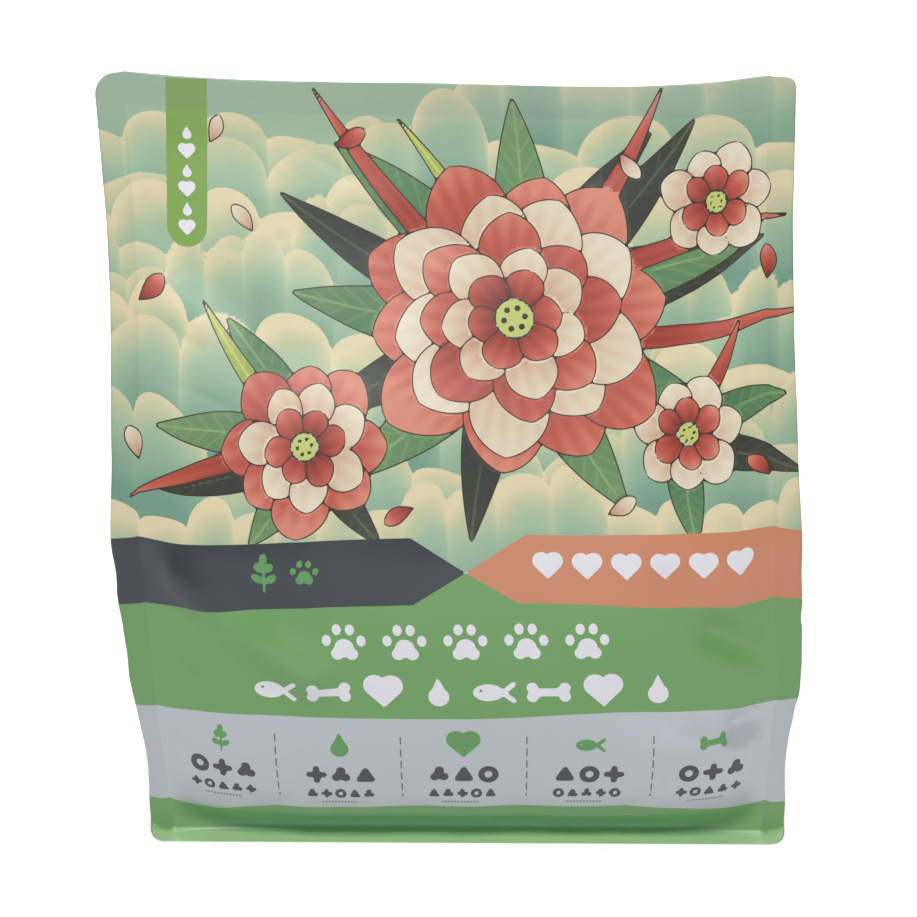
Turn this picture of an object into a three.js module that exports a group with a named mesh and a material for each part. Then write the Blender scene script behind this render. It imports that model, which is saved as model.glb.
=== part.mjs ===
// A sealed flat-bottomed bag of dry pet food, standing on its base.
// Five webs of film (front, back, two side gussets and a base) are heat-sealed into one closed pack.
// Millimetres, +Z up, front face towards -Y. Origin: on the ground, under the middle of the pack.
import * as THREE from "three";

// Sizes of the film, laid flat
const panelWidth = 244;
const filmHeight = 284;
const gussetWidth = 90;
const sideSeal = 10;
const topSeal = 11;
const bottomSeal = 8;
const topLeftRadius = 7;
const topRightRadius = 3;
const bottomCornerRadius = 8;
const sealedThickness = 0.6;
const leastSeal = 0.4;

// Form of the filled bag. Heights are measured up the film from the foot of the front seal.
const bodyDepth = 86;
const footDepth = 102;
const creaseDepth = 90;
const bellyHeight = 58;
const shoulderHeight = 118;
const bellyBulge = 15;
const gussetFullness = 0.8;
const sealSweep = 40;
const sideFlare = 4;
const leanBack = 13;
const topWave = 5;
const topSway = -9.5;
const footPanelPower = 8;
const flatPanelPower = 4;
const riseKept = 0.33;

// Underside of the base web
const grooveHeight = 1.8;
const grooveInset = 1.5;
const touchdownInset = 15;

// Recess of the folded gusset, which stops just under the top seal
const recessEnd = 6;
const edgeRounding = 0.1;

// Soft creases pressed into the film. Their ends are shares of the web's width, from its middle,
// and of its height; their widths and depths are in millimetres.
const frontCreases = [
  { from: [-0.48, 0.32], to: [-0.3, 0.36], width: 9, depth: 1.8 },
  { from: [0.43, 0.29], to: [0.31, 0.39], width: 9, depth: 2 },
  { from: [-0.48, 0.83], to: [-0.32, 0.72], width: 10, depth: 1.6 },
  { from: [0.46, 0.85], to: [0.34, 0.69], width: 9, depth: 1.4 },
  { from: [-0.12, 0.45], to: [0.14, 0.5], width: 14, depth: 1 },
];
const backCreases = [
  { from: [-0.47, 0.35], to: [-0.27, 0.44], width: 11, depth: 2 },
  { from: [0.48, 0.74], to: [0.29, 0.65], width: 11, depth: 1.8 },
  { from: [0.25, 0.32], to: [0.44, 0.26], width: 9, depth: 1.6 },
  { from: [-0.08, 0.8], to: [0.12, 0.75], width: 14, depth: 1 },
];

// Fineness of the mesh
const panelColumns = 30;
const sealColumns = 3;
const gussetColumns = 12;
const bodyRows = 34;
const slopeStep = 3;

const sealLine = filmHeight - topSeal;
const panelHalf = panelWidth / 2 - sideSeal;
const bodyHalf = bodyDepth / 2;

// A smooth curve through [height, value] stations, with no overshoot between them.
function profile(stations) {
  const steps = stations.slice(1).map(([h], i) => h - stations[i][0]);
  const slopes = steps.map((s, i) => (stations[i + 1][1] - stations[i][1]) / s);
  const tangents = stations.map((_, i) => {
    if (i === 0) return slopes[0];
    if (i === steps.length) return slopes[i - 1];
    if (slopes[i - 1] * slopes[i] <= 0) return 0;
    const near = 2 * steps[i] + steps[i - 1];
    const far = steps[i] + 2 * steps[i - 1];
    return (near + far) / (near / slopes[i - 1] + far / slopes[i]);
  });
  return (height) => {
    const h = THREE.MathUtils.clamp(height, stations[0][0], stations.at(-1)[0]);
    const found = stations.findIndex(([top], i) => i > 0 && h <= top);
    const i = Math.max(found, 1) - 1;
    const t = (h - stations[i][0]) / steps[i];
    const rise = t * t * (3 - 2 * t);
    return (
      stations[i][1] * (1 - rise) +
      stations[i + 1][1] * rise +
      steps[i] * t * (1 - t) * (tangents[i] * (1 - t) - tangents[i + 1] * t)
    );
  };
}

// Height of a station a given share of the way from the shoulder to the top seal.
const taper = (share) => THREE.MathUtils.lerp(shoulderHeight, sealLine, share);

// Half depth of the bag at the side seals
const edgeDepth = profile([
  [0, footDepth / 2],
  [bottomSeal, creaseDepth / 2],
  [bellyHeight / 2, bodyHalf],
  [shoulderHeight, bodyHalf - 1],
  [taper(0.25), bodyHalf * 0.8],
  [taper(0.5), bodyHalf * 0.51],
  [taper(0.8), bodyHalf * 0.17],
  [sealLine, sealedThickness * 0.85],
  [filmHeight, sealedThickness * 0.85],
]);

// How far the middle of a panel stands proud of its side seals
const bulge = profile([
  [0, 0],
  [bottomSeal, bellyBulge * -0.1],
  [bellyHeight * 0.38, bellyBulge * 0.58],
  [bellyHeight * 0.57, bellyBulge * 0.85],
  [bellyHeight, bellyBulge],
  [shoulderHeight * 0.85, bellyBulge * 0.97],
  [taper(0.25), bellyBulge * 0.62],
  [taper(0.6), bellyBulge * 0.32],
  [taper(0.88), bellyBulge * 0.08],
  [sealLine, 0],
  [filmHeight, 0],
]);

// Degrees that the side seals are swept back out of the panel's plane
const sweep = profile([
  [0, 0],
  [bottomSeal, sealSweep * 0.6],
  [bellyHeight * 0.6, sealSweep],
  [bellyHeight * 1.4, sealSweep * 0.45],
  [shoulderHeight, sealSweep * 0.2],
  [taper(0.5), sealSweep * 0.12],
  [filmHeight, 0],
]);

// Set-back of the whole bag and its sideways lean, both growing towards the top
const lean = profile([
  [0, 0],
  [bellyHeight, 0],
  [shoulderHeight, leanBack * 0.08],
  [taper(0.5), leanBack * 0.54],
  [filmHeight, leanBack],
]);
const sway = profile([
  [0, 0],
  [bellyHeight, topSway * 0.1],
  [shoulderHeight, topSway * 0.47],
  [taper(0.6), topSway * 0.72],
  [filmHeight, topSway],
]);

// Share of its width that a panel keeps where the film is puckered
const pucker = profile([
  [0, 0.963],
  [bottomSeal, 0.966],
  [bellyHeight * 0.6, 1.01],
  [bellyHeight * 0.85, 1.017],
  [shoulderHeight, 1.004],
  [taper(0.22), 0.985],
  [taper(0.5), 0.979],
  [taper(0.72), 0.983],
  [sealLine, 0.997],
  [filmHeight, 0.997],
]);

// 0 where the gusset is pushed out by the food, 1 where it is folded in
const folded = (v) => THREE.MathUtils.smoothstep(v, shoulderHeight - 12, taper(0.38));

// How deep the creases are at a place on the film, each fading out along its length.
function creased(u, v, creases) {
  return creases.reduce((sum, { from, to, width, depth }) => {
    const start = [from[0] * panelWidth, from[1] * filmHeight];
    const along = [to[0] * panelWidth - start[0], to[1] * filmHeight - start[1]];
    const length = Math.hypot(...along);
    const [du, dv] = [u - start[0], v - start[1]];
    const t = (du * along[0] + dv * along[1]) / length ** 2;
    const off = (du * along[1] - dv * along[0]) / length;
    const past = (Math.max(-t, t - 1, 0) * length) / width;
    return sum + depth * Math.exp(-((off / width) ** 2) - past ** 2);
  }, 0);
}

// How flat a panel is across: boxy near the foot, rounder from the belly up.
function flatness(v) {
  const up = THREE.MathUtils.smoothstep(v, bellyHeight * 0.4, bellyHeight * 1.2);
  return THREE.MathUtils.lerp(footPanelPower, flatPanelPower, up);
}

// Half depth of a panel at a place on its film: u across from the middle, v up from the foot.
function halfDepth(u, v, side) {
  const across = Math.min(Math.abs(u) / panelHalf, 1);
  const onSeal = Math.max(Math.abs(u) - panelHalf, 0);
  const swept = Math.sin(THREE.MathUtils.degToRad(sweep(v))) * onSeal;
  const dented = creased(u, v, side < 0 ? frontCreases : backCreases) * (1 - across ** 8);
  return edgeDepth(v) + bulge(v) * (1 - across ** flatness(v)) - swept - dented;
}

// Set-back of the film's middle plane, with the wave of the top seal.
function setBack(u, v) {
  const wave = topWave * Math.sin((2 * Math.PI * u) / panelWidth);
  return lean(v) - wave * THREE.MathUtils.smoothstep(v, shoulderHeight, filmHeight);
}

// Length that a film keeps across a slope: it doesn't stretch, so what it gains in depth it loses here.
function filmReach(depthAt, end) {
  if (end === 0) return 0;
  const steps = Math.max(1, Math.ceil(Math.abs(end) / slopeStep));
  const step = end / steps;
  let reach = 0;
  for (let i = 0; i < steps; i++) {
    const slope = (depthAt((i + 1) * step) - depthAt(i * step)) / step;
    reach += step * Math.sqrt(Math.max(1 - slope * slope, 0.05));
  }
  return reach;
}

// Height of a place on the film. The side seals would stand taller than the middle of the panel,
// which bulges more, but above the foot fine puckers along them take up most of the difference.
function heightAt(u, v, side) {
  const middle = filmReach((t) => halfDepth(0, t, side), v);
  const own = filmReach((t) => halfDepth(u, t, side), v);
  const kept = THREE.MathUtils.lerp(1, riseKept, THREE.MathUtils.smoothstep(v, bottomSeal, bellyHeight));
  return middle + kept * (own - middle);
}

// A point of the front (side -1) or back (side 1) web, set inwards by some of its thickness.
function filmPoint(u, v, side, inset = 0) {
  const x = pucker(v) * filmReach((t) => halfDepth(t, v, side), u) + sway(v);
  const depth = Math.max(halfDepth(u, v, side) - inset, edgeRounding);
  return new THREE.Vector3(x, side * depth + setBack(u, v), heightAt(u, v, side));
}

// Half width of a web at a height, towards the left (hand -1) or right (hand 1), with its rounded corners.
function outlineHalf(v, hand) {
  const topRadius = hand < 0 ? topLeftRadius : topRightRadius;
  const below = Math.max(bottomCornerRadius - v, 0);
  const above = Math.max(v - (filmHeight - topRadius), 0);
  const round = (radius, past) => radius - Math.sqrt(Math.max(radius * radius - past * past, 0));
  return panelWidth / 2 - round(bottomCornerRadius, below) - round(topRadius, above);
}

// Where the gusset leaves the panel: at the side seal, and further out at the flared foot.
function cornerAt(v) {
  const flare = sideFlare * Math.max(1 - v / bottomSeal, 0);
  const limit = Math.min(outlineHalf(v, -1), outlineHalf(v, 1)) - leastSeal;
  return Math.min(panelHalf + flare, limit);
}

// Evenly spaced numbers from -1 to 1.
const spread = (count) => Array.from({ length: count + 1 }, (_, i) => (2 * i) / count - 1);

// Heights of the mesh rows, closer together at the foot and the seals.
function rowHeights() {
  const foot = [0, bottomSeal * 0.12, bottomSeal * 0.35, bottomSeal * 0.7, bottomSeal];
  const rise = sealLine - recessEnd - bottomSeal;
  const share = (i) => ((i + 1) / bodyRows) ** 1.25;
  const body = Array.from({ length: bodyRows }, (_, i) => bottomSeal + rise * share(i));
  const corner = [topLeftRadius, topRightRadius, 1, 0].map((below) => filmHeight - below);
  return [...foot, ...body, sealLine - recessEnd / 2, sealLine, ...corner];
}
const rows = rowHeights();
const recessRow = rows.findIndex((v) => v > sealLine - recessEnd - edgeRounding);

// The places on a side seal at one height, as distances from the middle of the web, corner first.
function acrossSeal(v, hand) {
  const corner = cornerAt(v);
  const seal = outlineHalf(v, hand) - corner;
  return Array.from({ length: sealColumns }, (_, i) => corner + (seal * (i + 1)) / sealColumns);
}

// The outer surface of a web at one height, from its left edge to its right edge.
function webRow(v, side) {
  const corner = cornerAt(v);
  const left = acrossSeal(v, -1).map((u) => -u);
  const panel = spread(panelColumns).map((q) => q * corner);
  return [...left.reverse(), ...panel, ...acrossSeal(v, 1)].map((u) => filmPoint(u, v, side));
}

// The inner face of a side seal at one height, from the corner outwards.
function sealRow(v, side, hand) {
  return acrossSeal(v, hand).map((u, i) => {
    const rounding = i === sealColumns - 1 ? edgeRounding : 0;
    return filmPoint(hand * (u + rounding), v, side, sealedThickness);
  });
}

// How far the gusset stands out (or, folded, in) from the line between its two seals.
function gussetOut(s, v) {
  const chord = 2 * Math.min(edgeDepth(v), (gussetWidth / 2) * 0.999);
  const rise = Math.sqrt(0.375 * chord * (gussetWidth - chord)) * gussetFullness;
  const inward = Math.sqrt((gussetWidth / 2) ** 2 - (chord / 2) ** 2);
  const filled = THREE.MathUtils.smoothstep(v, bottomSeal, bellyHeight * 0.7);
  return (1 - folded(v)) * filled * rise * (1 - s * s) - folded(v) * inward * (1 - Math.abs(s));
}

// One gusset at one height, from the front seal to the back seal.
function gussetRow(v, hand) {
  const corner = hand * cornerAt(v);
  const front = filmPoint(corner, v, -1, sealedThickness);
  const back = filmPoint(corner, v, 1, sealedThickness);
  return spread(gussetColumns).map((s) => {
    const out = hand * gussetOut(s, v);
    const point = front.clone().lerp(back, (s + 1) / 2);
    point.x += out;
    point.y += setBack(corner + out, v) - setBack(corner, v);
    return point;
  });
}

// A ring brought in towards its middle by a distance, and set at a height.
function insetRing(ring, distance, height) {
  const box = new THREE.Box3().setFromPoints(ring);
  const middle = box.getCenter(new THREE.Vector3());
  const size = box.getSize(new THREE.Vector3());
  return ring.map((p) => {
    const x = middle.x + (p.x - middle.x) * (1 - (2 * distance) / size.x);
    const y = middle.y + (p.y - middle.y) * (1 - (2 * distance) / size.y);
    return new THREE.Vector3(x, y, height);
  });
}

// Rows of points joined into one closed surface.
class Skin {
  points = [];
  triangles = [];

  // Stores a row of points and gives back their places in the list.
  row(list) {
    return list.map((p) => this.points.push(p) - 1);
  }

  triangle(a, b, c) {
    if (a !== b && b !== c && c !== a) this.triangles.push(a, b, c);
  }

  // Joins two rows. Seen from outside, the first is the lower and both run to the right.
  strip(lower, upper) {
    for (let i = 0; i < lower.length - 1; i++) {
      this.triangle(lower[i], lower[i + 1], upper[i + 1]);
      this.triangle(lower[i], upper[i + 1], upper[i]);
    }
  }

  // Joins two rings that go round anticlockwise, seen from above.
  band(lower, upper) {
    this.strip([...lower, lower[0]], [...upper, upper[0]]);
  }

  geometry() {
    const geometry = new THREE.BufferGeometry().setFromPoints(this.points);
    geometry.setIndex(this.triangles);
    geometry.computeVertexNormals();
    return geometry;
  }
}

const reversed = (list) => [...list].reverse();

// The rows of one height: both webs, the inner faces of the side seals and the two gussets.
function layerAt(skin, v) {
  const sideAt = (hand) => ({
    front: skin.row(sealRow(v, -1, hand)),
    gusset: skin.row(gussetRow(v, hand)),
    back: skin.row(sealRow(v, 1, hand)),
  });
  return {
    front: skin.row(webRow(v, -1)),
    right: sideAt(1),
    back: skin.row(webRow(v, 1)),
    left: sideAt(-1),
  };
}

// The outline of the pack at one height, with the gussets folded in between the side seals.
const gussetedRing = ({ front, right, back, left }) => [
  ...front,
  ...reversed(right.front),
  ...right.gusset,
  ...right.back,
  ...reversed(back),
  ...reversed(left.back),
  ...reversed(left.gusset),
  ...left.front,
];

// The outline where the webs are sealed flat together.
const sealedRing = ({ front, right, back, left }) => [
  ...front,
  right.front.at(-1),
  right.back.at(-1),
  ...reversed(back),
  left.back.at(-1),
  left.front.at(-1),
];

// The outline of the base web, inside the side seals.
const baseRing = ({ front, right, back, left }) => [
  ...front.slice(sealColumns, -sealColumns),
  ...right.gusset,
  ...reversed(back.slice(sealColumns, -sealColumns)),
  ...reversed(left.gusset),
];

// Closes the end of a gusset's recess, just under the top seal.
function closeRecess(skin, { front, gusset, back }, hand) {
  const middle = gussetColumns / 2 + 1;
  const near = [...reversed(front), ...gusset.slice(0, middle)];
  const far = [...reversed(back), ...reversed(gusset).slice(0, middle)];
  if (hand > 0) skin.strip(near, far);
  else skin.strip(far, near);
}

// Closes the foot: the cut edges of the side seals, then the bottom seal and the base web inside it.
function closeFoot(skin, foot, crease) {
  const { front, right, back, left } = foot;
  const seal = sealColumns + 1;
  skin.strip([...reversed(left.front), left.gusset[0]], front.slice(0, seal));
  skin.strip([right.gusset[0], ...right.front], front.slice(-seal));
  skin.strip([...reversed(right.back), right.gusset.at(-1)], reversed(back).slice(0, seal));
  skin.strip([left.gusset.at(-1), ...left.back], reversed(back).slice(-seal));

  const pointsOf = (ring) => ring.map((i) => skin.points[i]);
  const rim = baseRing(foot);
  const inside = skin.row(insetRing(pointsOf(rim), sealedThickness, 0));
  const groove = skin.row(insetRing(pointsOf(baseRing(crease)), grooveInset, grooveHeight));
  const touchdown = skin.row(insetRing(pointsOf(baseRing(crease)), touchdownInset, 0));
  skin.band(inside, rim);
  skin.band(groove, inside);
  skin.band(touchdown, groove);
  const box = new THREE.Box3().setFromPoints(pointsOf(touchdown));
  const [middle] = skin.row([box.getCenter(new THREE.Vector3())]);
  touchdown.forEach((at, i) => {
    skin.triangle(middle, touchdown[(i + 1) % touchdown.length], at);
  });
}

// The whole pack.
function bagGeometry() {
  const skin = new Skin();
  const layers = rows.map((v) => layerAt(skin, v));
  for (let r = 0; r < layers.length - 1; r++) {
    const ring = r < recessRow ? gussetedRing : sealedRing;
    skin.band(ring(layers[r]), ring(layers[r + 1]));
  }
  closeRecess(skin, layers[recessRow].right, 1);
  closeRecess(skin, layers[recessRow].left, -1);
  closeFoot(skin, layers[0], layers[rows.indexOf(bottomSeal)]);
  const { front, right, back, left } = layers.at(-1);
  skin.strip(
    [left.front.at(-1), ...front, right.front.at(-1)],
    [left.back.at(-1), ...back, right.back.at(-1)],
  );
  return skin.geometry();
}

// Sets a geometry's outer box symmetrically about the Z axis.
function centred(geometry) {
  geometry.computeBoundingBox();
  const middle = geometry.boundingBox.getCenter(new THREE.Vector3());
  return geometry.translate(-middle.x, -middle.y, 0);
}

const bag = new THREE.Mesh(
  centred(bagGeometry()),
  new THREE.MeshStandardMaterial({ color: 0x7fa57a, roughness: 0.5, metalness: 0.1 }),
);
bag.name = "bag";

const part = new THREE.Group();
part.add(bag);
export default part;
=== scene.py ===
"""A sealed flat-bottomed bag of dry pet food, dressed for the library.

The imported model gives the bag's place and size. Each web of film is worked out as a surface of two
film coordinates: u across from the middle of the web and v up from its foot, both in millimetres.
The printed front is a set of signed fields, one for each ink, which are negative where the ink lies.
"""

from __future__ import annotations

import logging
import math
from dataclasses import dataclass, field
from enum import Enum

import bpy
import numpy as np
from mathutils import Euler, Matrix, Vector

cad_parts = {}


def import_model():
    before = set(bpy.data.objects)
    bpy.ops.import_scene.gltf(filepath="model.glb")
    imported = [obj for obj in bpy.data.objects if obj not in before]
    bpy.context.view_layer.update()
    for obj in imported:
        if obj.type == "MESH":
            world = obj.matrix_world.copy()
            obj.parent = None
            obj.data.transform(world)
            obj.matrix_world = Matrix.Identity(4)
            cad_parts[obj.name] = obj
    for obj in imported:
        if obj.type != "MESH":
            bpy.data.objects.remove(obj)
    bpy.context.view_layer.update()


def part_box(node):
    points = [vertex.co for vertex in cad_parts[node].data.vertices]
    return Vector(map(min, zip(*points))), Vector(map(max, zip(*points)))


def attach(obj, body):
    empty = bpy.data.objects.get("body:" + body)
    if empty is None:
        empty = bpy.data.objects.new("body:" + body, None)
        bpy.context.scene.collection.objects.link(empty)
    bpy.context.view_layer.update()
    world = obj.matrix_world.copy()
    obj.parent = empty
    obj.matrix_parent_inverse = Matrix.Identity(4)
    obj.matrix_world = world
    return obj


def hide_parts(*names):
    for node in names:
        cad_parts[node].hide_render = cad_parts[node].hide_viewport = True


LOG = logging.getLogger("bag")
MM = 0.001
NODE = "bag"
BODY = "root"
UV_SPAN = 300.0
Array = np.ndarray


class Side(Enum):
    """Which web of the bag a surface belongs to; its value is the sign of Y."""

    FRONT = -1
    BACK = 1


class Hand(Enum):
    """Which gusset of the bag a surface belongs to; its value is the sign of X."""

    LEFT = -1
    RIGHT = 1


def smooth_step(value: Array, low: float, high: float) -> Array:
    """0 below low, 1 above high, and 3t^2 - 2t^3 between them."""
    t = np.clip((value - low) / (high - low), 0.0, 1.0)
    return t * t * (3.0 - 2.0 * t)


def running_sum(values: Array, places: Array, axis: int) -> Array:
    """Integral of values over places by the trapezium rule, 0 at the first place.

    Args:
        values: the numbers to sum.
        places: where they lie along the axis.
        axis: the axis to sum along.

    Returns:
        An array of the values' shape.
    """
    values = np.moveaxis(values, axis, -1)
    strips = (values[..., 1:] + values[..., :-1]) / 2.0 * np.diff(places)
    total = np.concatenate([np.zeros_like(values[..., :1]), np.cumsum(strips, -1)], -1)
    return np.moveaxis(total, -1, axis)


def blended(grid: Array, i: Array, j: Array, s: Array, t: Array) -> Array:
    """Value of a grid between its points, from the four neighbours of each place.

    Args:
        grid: a value at each point, by row and column.
        i: the column before each place.
        j: the row before each place.
        s: the share of the way to the next column.
        t: the share of the way to the next row.

    Returns:
        Values of i's shape.
    """
    low = grid[j, i] * (1.0 - s) + grid[j, i + 1] * s
    high = grid[j + 1, i] * (1.0 - s) + grid[j + 1, i + 1] * s
    return low * (1.0 - t) + high * t


class Profile:
    """A smooth curve through stations, with no overshoot between them."""

    def __init__(self, *stations: tuple[float, float]) -> None:
        """Finds the slope at each station: the harmonic mean of its neighbours' slopes, or 0 at a turn.

        Args:
            stations: pairs of a place and the value there, in order.
        """
        self.places, self.values = np.array(stations, float).T
        self.steps = np.diff(self.places)
        slopes = np.diff(self.values) / self.steps
        self.tangents = np.concatenate([slopes[:1], np.zeros(len(slopes) - 1), slopes[-1:]])
        near = 2.0 * self.steps[1:] + self.steps[:-1]
        far = self.steps[1:] + 2.0 * self.steps[:-1]
        same = slopes[:-1] * slopes[1:] > 0.0
        low = np.where(same, slopes[:-1], 1.0)
        high = np.where(same, slopes[1:], 1.0)
        self.tangents[1:-1] = np.where(same, (near + far) / (near / low + far / high), 0.0)

    def __call__(self, place: Array | float) -> Array:
        """Cubic Hermite value at a place, held at the end stations outside them.

        Args:
            place: one place or an array of them.

        Returns:
            The value at each place.
        """
        place = np.clip(place, self.places[0], self.places[-1])
        found = np.searchsorted(self.places, place, side="right") - 1
        i = np.clip(found, 0, len(self.steps) - 1)
        t = (place - self.places[i]) / self.steps[i]
        rise = t * t * (3.0 - 2.0 * t)
        bend = self.tangents[i] * (1.0 - t) - self.tangents[i + 1] * t
        straight = self.values[i] * (1.0 - rise) + self.values[i + 1] * rise
        return straight + self.steps[i] * t * (1.0 - t) * bend


@dataclass(frozen=True)
class Crease:
    """A soft dent or fold in the film, in shares of the web's width and height; sizes in millimetres."""

    start: tuple[float, float]
    end: tuple[float, float]
    width: float
    depth: float
    folded: bool = False

    def pressed(self, u: Array, v: Array, width: float, height: float) -> Array:
        """Depth of the dent at each place.

        A soft dent is depth * exp(-(distance/width)^2); a fold has a sharp foot,
        depth * exp(-distance/width). Both fade out past their ends.

        Args:
            u: places across the film.
            v: places up the film.
            width: the web's width in millimetres.
            height: the web's height in millimetres.

        Returns:
            Millimetres inwards, of u's shape.
        """
        first = np.array([self.start[0] * width, self.start[1] * height])
        along = np.array([self.end[0] * width, self.end[1] * height]) - first
        length = float(np.hypot(*along))
        du, dv = u - first[0], v - first[1]
        t = (du * along[0] + dv * along[1]) / length**2
        off = (du * along[1] - dv * along[0]) / length
        past = np.maximum(np.maximum(-t, t - 1.0), 0.0) * length / self.width
        if self.folded:
            inner = np.clip(t, 0.0, 1.0)
            ends = np.sqrt(np.clip(4.0 * inner * (1.0 - inner), 0.0, 1.0))
            return self.depth * ends * np.exp(-np.sqrt(off**2 + 0.5) / self.width - past**2)
        return self.depth * np.exp(-((off / self.width) ** 2) - past**2)


def soft_noise(u: Array, v: Array, span: tuple[float, float], seed: int) -> Array:
    """Smooth random hills between -1 and 1: random heights on a grid of spans, blended by 3t^2 - 2t^3.

    Args:
        u: places across the film.
        v: places up the film.
        span: width and height of one grid cell in millimetres.
        seed: picks the random heights.

    Returns:
        Heights of u's shape.
    """
    cells = 63
    heights = np.random.default_rng(seed).uniform(-1.0, 1.0, (cells + 1, cells + 1))
    x = u / span[0] + 20.0
    y = v / span[1] + 4.0
    i, j = np.floor(x).astype(int) % cells, np.floor(y).astype(int) % cells
    s, t = x - np.floor(x), y - np.floor(y)
    return blended(heights, i, j, smooth_step(s, 0.0, 1.0), smooth_step(t, 0.0, 1.0))


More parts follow.
